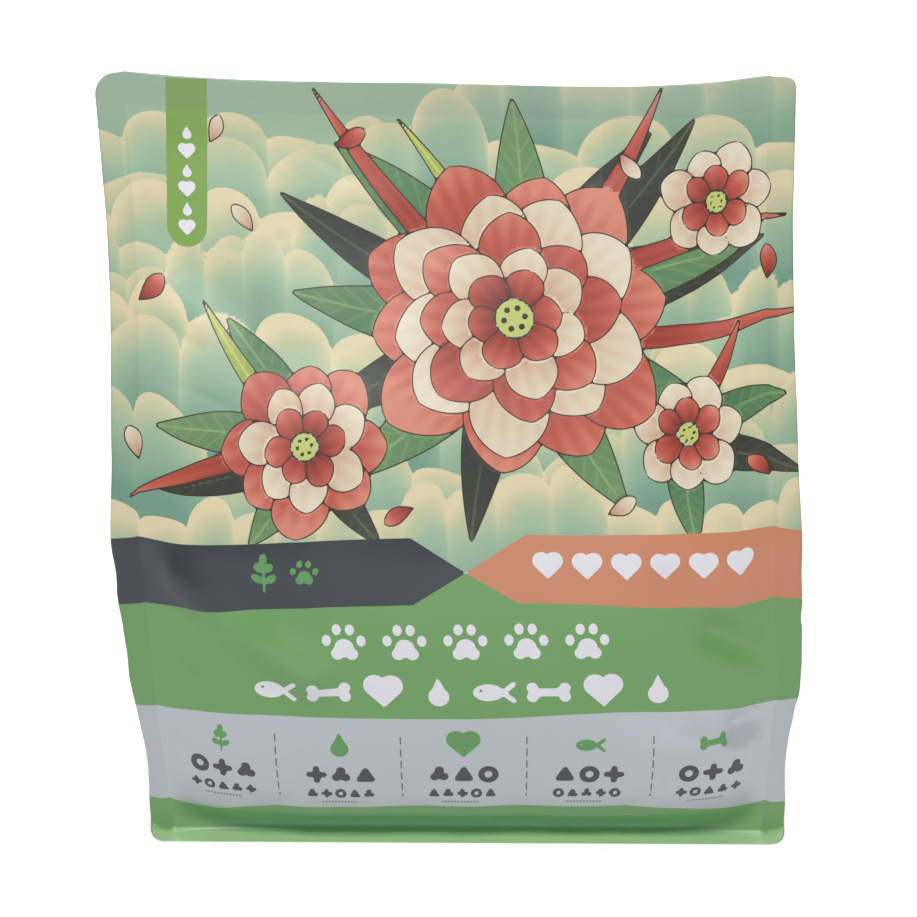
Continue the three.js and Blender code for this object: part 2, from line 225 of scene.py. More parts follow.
@dataclass
class BagForm:
    """The filled bag's sizes in millimetres, as in the part's source, and its surfaces."""

    panel_width: float = 244.0
    film_height: float = 284.0
    gusset_width: float = 90.0
    side_seal: float = 10.0
    top_seal: float = 11.0
    bottom_seal: float = 8.0
    top_left_radius: float = 7.0
    top_right_radius: float = 3.0
    bottom_radius: float = 8.0
    sealed_thickness: float = 0.6
    film_thickness: float = 0.3
    least_seal: float = 0.4
    body_depth: float = 86.0
    foot_depth: float = 102.0
    crease_depth: float = 90.0
    belly_height: float = 58.0
    shoulder_height: float = 118.0
    belly_bulge: float = 15.0
    gusset_fullness: float = 0.8
    seal_sweep: float = 40.0
    side_flare: float = 4.0
    lean_back: float = 13.0
    top_wave: float = 5.0
    top_sway: float = -9.5
    foot_power: float = 8.0
    flat_power: float = 4.0
    rise_kept: float = 0.33
    groove_height: float = 1.8
    groove_inset: float = 1.5
    touchdown_inset: float = 15.0
    recess_end: float = 6.0
    gusset_crease_depth: float = 1.1
    gusset_crease_width: float = 2.2
    uneven_layers: tuple[tuple[float, tuple[float, float]], ...] = (
        (0.9, (46.0, 38.0)),
        (0.42, (19.0, 24.0)),
        (0.1, (9.0, 10.0)),
    )
    uneven_seeds: dict[Side, int] = field(default_factory=lambda: {Side.FRONT: 11, Side.BACK: 23})
    broad_creases: dict[Side, tuple[Crease, ...]] = field(
        default_factory=lambda: {
            Side.FRONT: (
                Crease((-0.48, 0.32), (-0.3, 0.36), 9.0, 1.8),
                Crease((0.43, 0.29), (0.31, 0.39), 9.0, 2.0),
                Crease((-0.48, 0.83), (-0.32, 0.72), 10.0, 1.6),
                Crease((0.46, 0.85), (0.34, 0.69), 9.0, 1.4),
                Crease((-0.12, 0.45), (0.14, 0.5), 14.0, 1.0),
            ),
            Side.BACK: (
                Crease((-0.47, 0.35), (-0.27, 0.44), 11.0, 2.0),
                Crease((0.48, 0.74), (0.29, 0.65), 11.0, 1.8),
                Crease((0.25, 0.32), (0.44, 0.26), 9.0, 1.6),
                Crease((-0.08, 0.8), (0.12, 0.75), 14.0, 1.0),
            ),
        }
    )
    fine_creases: dict[Side, tuple[Crease, ...]] = field(
        default_factory=lambda: {
            Side.FRONT: (
                Crease((0.441, 0.86), (0.425, 0.47), 1.3, 0.75, True),
                Crease((-0.446, 0.8), (-0.437, 0.5), 1.5, 0.4, True),
                Crease((-0.47, 0.345), (-0.38, 0.35), 3.2, 1.3, True),
                Crease((-0.4, 0.39), (-0.22, 0.28), 8.0, -3.2),
                Crease((-0.46, 0.32), (-0.39, 0.26), 4.5, 2.0),
                Crease((0.465, 0.31), (0.4, 0.36), 2.4, 1.5, True),
                Crease((0.36, 0.33), (0.45, 0.29), 6.0, 3.2),
                Crease((0.4, 0.2), (0.49, 0.215), 7.0, 4.5),
                Crease((0.3, 0.19), (0.42, 0.17), 7.0, -1.4),
                Crease((-0.455, 0.71), (-0.36, 0.67), 3.0, 0.7, True),
                Crease((-0.45, 0.64), (-0.31, 0.6), 3.4, 0.5, True),
                Crease((0.45, 0.63), (0.36, 0.58), 2.8, 0.5, True),
                Crease((-0.44, 0.19), (-0.38, 0.13), 2.2, 1.1, True),
                Crease((0.45, 0.2), (0.39, 0.13), 2.4, 1.2, True),
                Crease((-0.3, 0.075), (-0.24, 0.12), 2.2, 0.6, True),
                Crease((0.2, 0.07), (0.27, 0.115), 2.4, 0.6, True),
                Crease((-0.2, 0.915), (-0.12, 0.87), 3.0, 0.35, True),
                Crease((0.28, 0.93), (0.22, 0.88), 3.0, 0.4, True),
            ),
            Side.BACK: (
                Crease((-0.44, 0.85), (-0.43, 0.45), 1.4, 0.6, True),
                Crease((0.44, 0.84), (0.43, 0.5), 1.4, 0.6, True),
                Crease((0.46, 0.34), (0.38, 0.37), 2.6, 1.3, True),
                Crease((-0.46, 0.2), (-0.39, 0.14), 2.4, 1.1, True),
                Crease((0.45, 0.2), (0.4, 0.14), 2.4, 1.1, True),
                Crease((-0.2, 0.06), (-0.14, 0.11), 2.2, 0.7, True),
            ),
        }
    )

    def __post_init__(self) -> None:
        """Works out the curves of the form along the film's height."""
        low, belly, shoulder = self.bottom_seal, self.belly_height, self.shoulder_height
        top, end = self.seal_line, self.film_height
        half, thin, bulge = self.body_depth / 2.0, self.sealed_thickness * 0.85, self.belly_bulge
        taper = self.taper
        self.edge_depth = Profile(
            (0.0, self.foot_depth / 2.0),
            (low, self.crease_depth / 2.0),
            (belly / 2.0, half),
            (shoulder, half - 1.0),
            (taper(0.25), half * 0.8),
            (taper(0.5), half * 0.51),
            (taper(0.8), half * 0.17),
            (top, thin),
            (end, thin),
        )
        self.bulge = Profile(
            (0.0, 0.0),
            (low, bulge * -0.1),
            (belly * 0.38, bulge * 0.58),
            (belly * 0.57, bulge * 0.85),
            (belly, bulge),
            (shoulder * 0.85, bulge * 0.97),
            (taper(0.25), bulge * 0.62),
            (taper(0.6), bulge * 0.32),
            (taper(0.88), bulge * 0.08),
            (top, 0.0),
            (end, 0.0),
        )
        self.sweep = Profile(
            (0.0, 0.0),
            (low, self.seal_sweep * 0.6),
            (belly * 0.6, self.seal_sweep),
            (belly * 1.4, self.seal_sweep * 0.45),
            (shoulder, self.seal_sweep * 0.2),
            (taper(0.5), self.seal_sweep * 0.12),
            (end, 0.0),
        )
        self.lean = Profile(
            (0.0, 0.0),
            (belly, 0.0),
            (shoulder, self.lean_back * 0.08),
            (taper(0.5), self.lean_back * 0.54),
            (end, self.lean_back),
        )
        self.sway = Profile(
            (0.0, 0.0),
            (belly, self.top_sway * 0.1),
            (shoulder, self.top_sway * 0.47),
            (taper(0.6), self.top_sway * 0.72),
            (end, self.top_sway),
        )
        self.pucker = Profile(
            (0.0, 0.963),
            (low, 0.966),
            (belly * 0.6, 1.01),
            (belly * 0.85, 1.017),
            (shoulder, 1.004),
            (taper(0.22), 0.985),
            (taper(0.5), 0.979),
            (taper(0.72), 0.983),
            (top, 0.997),
            (end, 0.997),
        )

    @property
    def seal_line(self) -> float:
        """Height of the foot of the top seal."""
        return self.film_height - self.top_seal

    @property
    def panel_half(self) -> float:
        """Half width of a web between its side seals."""
        return self.panel_width / 2.0 - self.side_seal

    def taper(self, share: float) -> float:
        """Height a share of the way from the shoulder to the top seal."""
        return self.shoulder_height + (self.seal_line - self.shoulder_height) * share

    def folded(self, v: Array) -> Array:
        """0 where the food pushes the gusset out, 1 where it is folded in."""
        return smooth_step(v, self.shoulder_height - 12.0, self.taper(0.38))

    def flatness(self, v: Array) -> Array:
        """How flat a panel is across: boxy near the foot, rounder from the belly up."""
        up = smooth_step(v, self.belly_height * 0.4, self.belly_height * 1.2)
        return self.foot_power + (self.flat_power - self.foot_power) * up

    def half_depth(self, u: Array, v: Array, side: Side) -> Array:
        """Depth of a web from the middle plane.

        It is the depth at the side seals, plus the belly's bulge times 1 - |u/half|^flatness, less
        the sweep of the seals, less the creases, plus the soft unevenness of food behind film.

        Args:
            u: places across the film.
            v: places up the film.
            side: which web.

        Returns:
            Millimetres from the middle plane, of u's shape.
        """
        across = np.minimum(np.abs(u) / self.panel_half, 1.0)
        on_seal = np.maximum(np.abs(u) - self.panel_half, 0.0)
        free = 1.0 - across**8
        depth = self.edge_depth(v) + self.bulge(v) * (1.0 - across ** self.flatness(v))
        depth = depth - np.sin(np.radians(self.sweep(v))) * on_seal
        for crease in self.broad_creases[side] + self.fine_creases[side]:
            depth = depth - free * crease.pressed(u, v, self.panel_width, self.film_height)
        slack = free * smooth_step(v, self.bottom_seal, 30.0) * smooth_step(-v, -self.seal_line, -240.0)
        seed = self.uneven_seeds[side]
        uneven = np.zeros(depth.shape)
        for layer, (height, span) in enumerate(self.uneven_layers):
            uneven = uneven + height * soft_noise(u, v, span, seed + layer)
        return depth + slack * uneven

    def set_back(self, u: Array, v: Array) -> Array:
        """Lean of the middle plane, less one sine wave across the top."""
        wave = self.top_wave * np.sin(2.0 * np.pi * u / self.panel_width)
        return self.lean(v) - wave * smooth_step(v, self.shoulder_height, self.film_height)

    def outline_half(self, v: Array, hand: Hand) -> Array:
        """Half width of a web, less its rounded corners r - sqrt(r^2 - past^2).

        Args:
            v: places up the film.
            hand: which edge of the web.

        Returns:
            Half widths in millimetres, of v's shape.
        """
        radius = self.top_left_radius if hand is Hand.LEFT else self.top_right_radius
        below = np.maximum(self.bottom_radius - v, 0.0)
        above = np.maximum(v - (self.film_height - radius), 0.0)
        low = self.bottom_radius - np.sqrt(np.maximum(self.bottom_radius**2 - below**2, 0.0))
        high = radius - np.sqrt(np.maximum(radius**2 - above**2, 0.0))
        return self.panel_width / 2.0 - low - high

    def corner(self, v: Array) -> Array:
        """Where the gusset leaves the web: at the side seal, further out at the flared foot."""
        flare = self.side_flare * np.maximum(1.0 - v / self.bottom_seal, 0.0)
        least = np.minimum(self.outline_half(v, Hand.LEFT), self.outline_half(v, Hand.RIGHT))
        return np.minimum(self.panel_half + flare, least - self.least_seal)

    def gusset_out(self, s: Array, v: Array) -> Array:
        """How far a gusset stands out, or folded in, from the line between its seals.

        Pushed out it is an arc, rise * (1 - s^2), whose rise is the fullness times what film of its
        width allows, sqrt(3/8 * chord * (width - chord)). Folded in it is a V, inward * (1 - |s|).

        Args:
            s: places across the gusset, from -1 at the front to 1 at the back.
            v: places up the film.

        Returns:
            Millimetres outwards, negative where it is folded in.
        """
        half = self.gusset_width / 2.0
        chord = 2.0 * np.minimum(self.edge_depth(v), half * 0.999)
        rise = np.sqrt(0.375 * chord * (self.gusset_width - chord)) * self.gusset_fullness
        inward = np.sqrt(half**2 - (chord / 2.0) ** 2)
        filled = smooth_step(v, self.bottom_seal, self.belly_height * 0.7)
        folded = self.folded(v)
        arc = (1.0 - folded) * filled * rise * (1.0 - s * s)
        fade = np.exp(-np.abs(s) * half / self.gusset_crease_width)
        crease = self.gusset_crease_depth * filled * (1.0 - folded) * fade
        return arc - crease - folded * inward * (1.0 - np.abs(s))


class FilmSurface:
    """One web laid over the form: its depth, and how far the film reaches across and up."""

    PITCH = 0.5

    def __init__(self, form: BagForm, side: Side) -> None:
        """Works the surface out on a grid of film half a millimetre apart.

        The film doesn't stretch, so x is the integral of sqrt(1 - (d depth/du)^2) over u, and the
        height is that over v; above the foot the side seals keep only part of their extra height.

        Args:
            form: the bag's sizes.
            side: which web.
        """
        self.form, self.side = form, side
        half = form.panel_width / 2.0
        self.u = np.arange(-half, half + self.PITCH / 2.0, self.PITCH)
        self.v = np.arange(0.0, form.film_height + self.PITCH / 2.0, self.PITCH)
        u, v = np.meshgrid(self.u, self.v)
        depth = form.half_depth(u, v, side)
        across = np.gradient(depth, self.u, axis=1)
        upward = np.gradient(depth, self.v, axis=0)
        middle = len(self.u) // 2
        reach = running_sum(np.sqrt(np.maximum(1.0 - across**2, 0.05)), self.u, 1)
        reach = reach - reach[:, [middle]]
        height = running_sum(np.sqrt(np.maximum(1.0 - upward**2, 0.05)), self.v, 0)
        base = height[:, [middle]]
        self.depth = depth
        self.x = form.pucker(v) * reach + form.sway(v)
        kept = 1.0 + (form.rise_kept - 1.0) * smooth_step(v, form.bottom_seal, form.belly_height)
        self.z = base + kept * (height - base)

    def _sampled(self, grid: Array, u: Array, v: Array) -> Array:
        """Value of a grid at any place on the film, blended from its four neighbours.

        Args:
            grid: a value at each point of the half-millimetre grid.
            u: places across the film.
            v: places up the film.

        Returns:
            Values of u's shape.
        """
        x = np.clip((u - self.u[0]) / self.PITCH, 0.0, len(self.u) - 1.001)
        y = np.clip(v / self.PITCH, 0.0, len(self.v) - 1.001)
        i, j = x.astype(int), y.astype(int)
        return blended(grid, i, j, x - i, y - j)

    def points(self, u: Array, v: Array, inset: Array | float = 0.0) -> Array:
        """Places in space of points of the film, set inwards by inset millimetres.

        Args:
            u: places across the film.
            v: places up the film.
            inset: how far inside the outer face.

        Returns:
            An array of u's shape with a last axis of x, y and z in millimetres.
        """
        depth = np.maximum(self._sampled(self.depth, u, v) - inset, 0.02)
        y = self.side.value * depth + self.form.set_back(u, v)
        return np.stack([self._sampled(self.x, u, v), y, self._sampled(self.z, u, v)], -1)


@dataclass
class Sheet:
    """A closed shell of film, built from a fine outer grid and an inner grid of fewer faces."""

    name: str
    outer: Array
    inner: Array
    film: Array
    ratio: int
    turned: bool = False

    def _grid_faces(self, rows: int, columns: int, start: int) -> Array:
        """Four corners of each face of a grid of rows times columns points, numbered from start."""
        at = start + np.arange(rows * columns).reshape(rows, columns)
        corners = [at[:-1, :-1], at[:-1, 1:], at[1:, 1:], at[1:, :-1]]
        return np.stack([c.ravel() for c in corners], -1)

    def _ring(self, rows: int, columns: int, start: int) -> Array:
        """The border points of a grid in order, anticlockwise from its first point."""
        at = start + np.arange(rows * columns).reshape(rows, columns)
        return np.concatenate([at[0, :-1], at[:-1, -1], at[-1, :0:-1], at[:0:-1, 0]])

    def mesh(self) -> bpy.types.Object:
        """Makes the object: both grids, and a wall of triangles between their borders.

        Each step of the inner border faces ratio steps of the outer one: the outer steps fan to the
        nearer of its two ends, and one triangle closes the middle.

        Returns:
            The new object, at the origin, linked to the scene.
        """
        rows, columns = self.outer.shape[:2]
        inner_rows, inner_columns = self.inner.shape[:2]
        start = rows * columns
        fine = self._ring(rows, columns, 0)
        coarse = self._ring(inner_rows, inner_columns, start)
        outer = self._grid_faces(rows, columns, 0)
        inner = self._grid_faces(inner_rows, inner_columns, start)[:, ::-1]
        step = np.arange(len(fine))
        owner = (step // self.ratio + (step % self.ratio >= self.ratio / 2.0)) % len(coarse)
        fan = np.stack([coarse[owner], np.roll(fine, -1), fine], -1)
        middle = fine[(np.arange(len(coarse)) * self.ratio + (self.ratio + 1) // 2) % len(fine)]
        close = np.stack([coarse, np.roll(coarse, -1), middle], -1)
        quads = np.concatenate([outer, inner])
        triangles = np.concatenate([fan, close])
        if self.turned:
            quads, triangles = quads[:, ::-1], triangles[:, ::-1]
        points = np.concatenate([self.outer.reshape(-1, 3), self.inner.reshape(-1, 3)]) * MM
        data = bpy.data.meshes.new(self.name)
        data.from_pydata(points.tolist(), [], quads.tolist() + triangles.tolist())
        data.polygons.foreach_set("use_smooth", np.ones(len(data.polygons), bool))
        self._lay_film(data, inner_rows, inner_columns)
        obj = bpy.data.objects.new(self.name, data)
        bpy.context.scene.collection.objects.link(obj)
        return obj

    def _lay_film(self, data: bpy.types.Mesh, inner_rows: int, inner_columns: int) -> None:
        """Gives each corner of each face its film coordinates, (u + 150)/300 and v/300.

        Args:
            data: the mesh.
            inner_rows: rows of points in the inner grid.
            inner_columns: its columns.
        """
        rows, columns = self.film.shape[:2]
        row = np.linspace(0, rows - 1, inner_rows).round().astype(int)
        column = np.linspace(0, columns - 1, inner_columns).round().astype(int)
        inner = self.film[np.ix_(row, column)].reshape(-1, 2)
        film = np.concatenate([self.film.reshape(-1, 2), inner])
        film = (film + [UV_SPAN / 2.0, 0.0]) / UV_SPAN
        corner = np.zeros(len(data.loops), np.int32)
        data.loops.foreach_get("vertex_index", corner)
        layer = data.uv_layers.new(name="Film")
        layer.data.foreach_set("uv", film[corner].astype(np.float32).ravel())


def set_attribute(data: bpy.types.Mesh, name: str, values: Array, ratio: int) -> None:
    """Stores one number for each vertex of the outer grid, and the same for the inner grid behind it."""
    whole = np.concatenate([values.ravel(), values[::ratio, ::ratio].ravel()])
    attribute = data.attributes.new(name, "FLOAT", "POINT")
    attribute.data.foreach_set("value", whole.astype(np.float32))


class Ink(Enum):
    """The inks of the printed film, in the order in which they are laid down."""

    HILL_A = "hill_a"
    HILL_B = "hill_b"
    OUTLINE = "outline"
    DARK_LEAF_A = "dark_leaf_a"
    DARK_LEAF_B = "dark_leaf_b"
    LEAF_A = "leaf_a"
    LEAF_B = "leaf_b"
    ACCENT = "accent"
    CORAL_A = "coral_a"
    CORAL_B = "coral_b"
    CORAL_C = "coral_c"
    CREAM_A = "cream_a"
    CREAM_B = "cream_b"
    GREEN_FIELD = "green_field"
    SILVER_STRIP = "silver_strip"
    NIGHT_BAND = "night_band"
    ORANGE_BAND = "orange_band"
    TAG = "tag"
    WHITE_MARK = "white_mark"
    GREEN_MARK = "green_mark"
    DARK_MARK = "dark_mark"


@dataclass(frozen=True)
class PrintPlan:
    """Where the colour fields lie on the film, in millimetres across and up."""

    band_top: Profile = Profile(
        (-122, 123), (-88.5, 125.2), (-53.5, 128.6), (-15.5, 129.8),
        (28.5, 131.2), (83.5, 131), (120.5, 127.5),
    )
    band_foot: Profile = Profile(
        (-122, 98), (-91, 101), (-54.5, 105), (-0.5, 107),
        (27.5, 107.4), (83, 104), (121, 101.8),
    )
    strip_top: Profile = Profile(
        (-122, 57), (-93, 62), (-58.5, 64), (-3, 64),
        (53.5, 66.2), (82, 65.4), (97.5, 63.4), (122, 61.4),
    )
    strip_foot: Profile = Profile(
        (-122, 17.2), (-98, 18.5), (-78, 23.5), (-61, 25.6), (-3.5, 26.4),
        (55, 26.4), (80, 24), (101, 19.5), (122, 16.4),
    )
    point: tuple[float, float] = (3.0, 118.2)
    slant: float = 1.6
    tag_foot: float = 233.0
    tag_half: float = 7.1
    tag_middle: float = -93.6
    tag_lean: float = 0.062
    icon_places: tuple[float, ...] = (-86.0, -44.0, -1.0, 43.0, 86.5)
    icon_height: float = 53.5
    divider_places: tuple[float, ...] = (-66.4, -22.8, 21.0, 65.0)
    divider_span: tuple[float, float] = (31.5, 57.0)
    divider_half: float = 0.24
    dash_pitch: float = 4.9
    dash_share: float = 0.68
    rule_span: tuple[float, float] = (28.7, 29.4)
    rule_half: float = 6.6
    rule_shift: float = 1.4
    dot_pitch: float = 1.15
    dot_share: float = 0.6
    line_strength: float = 0.85


Ring = tuple[int, float, float, float, str]


@dataclass
class Petal:
    """A leaf or petal: an axis from its root, bent sideways, with a width that rises and falls."""

    root: tuple[float, float]
    angle: float
    length: float
    width: float
    bend: float = 0.0
    fullest: float = 0.5
    blunt: float = 1.0
    tip_half: float = 0.6

    def half_width(self, t: Array) -> Array:
        """Half width at a share t of the length, width/2 * sin(pi * t^p)^blunt: t^p is 1/2 at fullest."""
        power = math.log(0.5) / math.log(self.fullest)
        wave = np.sin(np.pi * np.clip(t, 1e-4, 1.0 - 1e-4) ** power)
        return self.width / 2.0 * np.maximum(wave, 0.0) ** self.blunt

    def field(self, u: Array, v: Array) -> tuple[Array, Array, Array]:
        """Signed field of the shape, and each place's share along it and millimetres across it.

        Args:
            u: places across the film.
            v: places up the film.

        Returns:
            The signed field, the share along the axis and the millimetres across it.
        """
        turn = math.radians(self.angle)
        du, dv = u - self.root[0], v - self.root[1]
        along = du * math.cos(turn) + dv * math.sin(turn)
        across = dv * math.cos(turn) - du * math.sin(turn)
        t = along / self.length
        across = across - self.bend * self.length * np.clip(t, 0.0, 1.3) ** 2
        slope = (self.half_width(t + 0.02) - self.half_width(t - 0.02)) / (0.04 * self.length)
        tilt = slope + np.sign(across) * 2.0 * self.bend * np.clip(t, 0.0, 1.0)
        signed = (np.abs(across) - self.half_width(t)) / np.sqrt(1.0 + tilt**2)
        short = (self.tip_half - self.half_width(t)) / np.maximum(np.abs(slope), 0.02)
        beyond = np.maximum(-along, np.where(t > self.fullest, short, -self.length))
        return np.maximum(signed, beyond), t, across


def disc(u: Array, v: Array, middle: tuple[float, float], radius: float, squash: float = 1.0) -> Array:
    """Distance from a disc, or from an upright ellipse where squash, its height to width, isn't 1."""
    return np.hypot(u - middle[0], (v - middle[1]) / squash) - radius


def bar(u: Array, v: Array, first: tuple[float, float], last: tuple[float, float], radius: float) -> Array:
    """Distance from a straight bar with round ends."""
    du, dv = last[0] - first[0], last[1] - first[1]
    t = np.clip(((u - first[0]) * du + (v - first[1]) * dv) / (du * du + dv * dv), 0.0, 1.0)
    return np.hypot(u - first[0] - t * du, v - first[1] - t * dv) - radius


def joined(*fields: Array) -> Array:
    """Union of signed fields: the least of them."""
    return np.minimum.reduce(fields)


def paw(u: Array, v: Array, at: tuple[float, float], size: float) -> Array:
    """A paw print: one pad of three discs and four toes.

    Args:
        u: places across the film.
        v: places up the film.
        at: the middle of the shape.
        size: its width in millimetres.

    Returns:
        The signed field in millimetres, negative inside the shape.
    """
    x, y = (u - at[0]) / size, (v - at[1]) / size
    pad = joined(
        disc(x, y, (0.0, -0.12), 0.21), disc(x, y, (-0.15, -0.25), 0.14), disc(x, y, (0.15, -0.25), 0.14)
    )
    places = ((-0.37, 0.05), (-0.14, 0.3), (0.14, 0.3), (0.37, 0.05))
    toes = [disc(x, y, place, 0.1, 1.3) for place in places]
    return joined(pad, *toes) * size


def fish(u: Array, v: Array, at: tuple[float, float], size: float) -> Array:
    """A plain fish: an ellipse with a forked tail of two bars.

    Args:
        u: places across the film.
        v: places up the film.
        at: the middle of the shape.
        size: its width in millimetres.

    Returns:
        The signed field in millimetres, negative inside the shape.
    """
    x, y = (u - at[0]) / size, (v - at[1]) / size
    body = disc(x, y, (-0.12, 0.0), 0.34, 0.62)
    tail = joined(bar(x, y, (0.2, 0.0), (0.44, 0.2), 0.06), bar(x, y, (0.2, 0.0), (0.44, -0.2), 0.06))
    return np.maximum(joined(body, tail), -disc(x, y, (-0.28, 0.05), 0.045)) * size


def bone(u: Array, v: Array, at: tuple[float, float], size: float) -> Array:
    """A plain bone: a bar with two discs at each end."""
    x, y = (u - at[0]) / size, (v - at[1]) / size
    ends = [disc(x, y, (dx, dy), 0.13) for dx in (-0.36, 0.36) for dy in (-0.11, 0.11)]
    return joined(bar(x, y, (-0.3, 0.0), (0.3, 0.0), 0.1), *ends) * size


def heart(u: Array, v: Array, at: tuple[float, float], size: float) -> Array:
    """A heart: a round lobe above the diagonal, and below it the distance to the pointed side.

    Args:
        u: places across the film.
        v: places up the film.
        at: the middle of the shape.
        size: its width in millimetres.

    Returns:
        The signed field in millimetres, negative inside the shape.
    """
    x, y = np.abs(u - at[0]) / size * 1.1, (v - at[1]) / size * 1.1 + 0.52
    lobe = np.hypot(x - 0.25, y - 0.75) - math.sqrt(2.0) / 4.0
    side = np.maximum(x + y, 0.0) / 2.0
    flank = np.minimum(np.hypot(x, y - 1.0), np.hypot(x - side, y - side)) * np.sign(x - y)
    return np.where(x + y > 1.0, lobe, flank) * size


def drop(u: Array, v: Array, at: tuple[float, float], size: float) -> Array:
    """A drop: a disc under a pointed top."""
    x, y = np.abs(u - at[0]) / size, (v - at[1]) / size
    top = np.maximum(x * 0.9 + y * 0.42 - 0.2, -y - 0.05)
    return joined(np.hypot(x, y + 0.13) - 0.29, top) * size


def sprig(u: Array, v: Array, at: tuple[float, float], size: float) -> Array:
    """A sprig: a stem with two pairs of leaves and one at its tip.

    Args:
        u: places across the film.
        v: places up the film.
        at: the middle of the shape.
        size: its width in millimetres.

    Returns:
        The signed field in millimetres, negative inside the shape.
    """
    root = (at[0], at[1] - 0.5 * size)
    fields = [bar(u, v, root, (at[0], at[1] + 0.3 * size), 0.035 * size)]
    for height, angle, length in ((0.2, 35, 0.42), (0.2, 145, 0.42), (0.48, 45, 0.36), (0.48, 135, 0.36)):
        foot = (at[0], root[1] + height * size)
        fields.append(Petal(foot, angle, length * size, 0.2 * size).field(u, v)[0])
    fields.append(Petal((at[0], at[1] + 0.12 * size), 90, 0.4 * size, 0.2 * size).field(u, v)[0])
    return joined(*fields)


def kibble(u: Array, v: Array, at: tuple[float, float], size: float, kind: int) -> Array:
    """One piece of dry food: a ring, a cross, a trefoil or a rounded triangle.

    Args:
        u: places across the film.
        v: places up the film.
        at: the middle of the shape.
        size: its width in millimetres.
        kind: which of the four shapes.

    Returns:
        The signed field in millimetres, negative inside the shape.
    """
    x, y = (u - at[0]) / size, (v - at[1]) / size
    if kind % 4 == 0:
        return np.abs(np.hypot(x, y) - 0.33) * size - 0.14 * size
    if kind % 4 == 1:
        level = bar(x, y, (-0.33, 0.0), (0.33, 0.0), 0.15)
        upright = bar(x, y, (0.0, -0.33), (0.0, 0.33), 0.15)
        return joined(level, upright) * size
    if kind % 4 == 2:
        lobes = [disc(x, y, (0.24 * math.sin(a), 0.24 * math.cos(a)), 0.22) for a in (0.0, 2.094, 4.189)]
        return joined(*lobes) * size
    corners = [(0.0, 0.3), (0.3, -0.24), (-0.3, -0.24)]
    sides = [bar(x, y, corners[i], corners[i - 1], 0.13) for i in range(3)]
    return joined(disc(x, y, (0.0, -0.08), 0.2), *sides) * size


@dataclass
class Painter:
    """The signed fields of every ink over a web's points, painted from back to front."""

    u: Array
    v: Array
    fields: dict[Ink, Array] = field(default_factory=dict)

    def __post_init__(self) -> None:
        """Starts with no ink anywhere."""
        for ink in Ink:
            self.fields[ink] = np.full(self.u.shape, 50.0)
        self.along = np.zeros(self.u.shape)
        self.across = np.zeros(self.u.shape)
        self.shade = np.zeros(self.u.shape)
        self.depths = {Ink.HILL_A: np.zeros(self.u.shape), Ink.HILL_B: np.zeros(self.u.shape)}

    def cover(self, signed: Array, keep: tuple[Ink, ...] = ()) -> None:
        """Takes every ink out from where a shape lies."""
        for ink in Ink:
            if ink not in keep:
                self.fields[ink] = np.maximum(self.fields[ink], -signed)

    def lay(self, signed: Array, ink: Ink) -> None:
        """Covers what lies under a shape and fills it with one ink."""
        self.cover(signed)
        self.fields[ink] = np.minimum(self.fields[ink], signed)

    def note(self, signed: Array, along: Array, across: Array, shade: float) -> None:
        """Keeps a shape's own coordinates and shade where it lies, for its veins and gradients.

        Args:
            signed: the shape's signed field.
            along: share along the shape.
            across: millimetres across it.
            shade: how much lighter the whole shape is.
        """
        inside = signed < 0.6
        self.along = np.where(inside, along, self.along)
        self.across = np.where(inside, across, self.across)
        self.shade = np.where(inside, shade, self.shade)

    def petal(self, shape: Petal, ink: Ink, shade: float = 0.0, outline: float = 0.45) -> None:
        """Lays a petal or leaf with a thin dark outline: the outline's ink lies under the whole shape.

        Args:
            shape: the petal or leaf.
            ink: what fills it.
            shade: how much lighter it is.
            outline: the outline's width in millimetres.
        """
        signed, along, across = shape.field(self.u, self.v)
        self.cover(signed, keep=(Ink.OUTLINE,))
        self.fields[Ink.OUTLINE] = np.minimum(self.fields[Ink.OUTLINE], signed)
        self.fields[ink] = np.minimum(self.fields[ink], signed + outline)
        self.note(signed, along, across, shade)


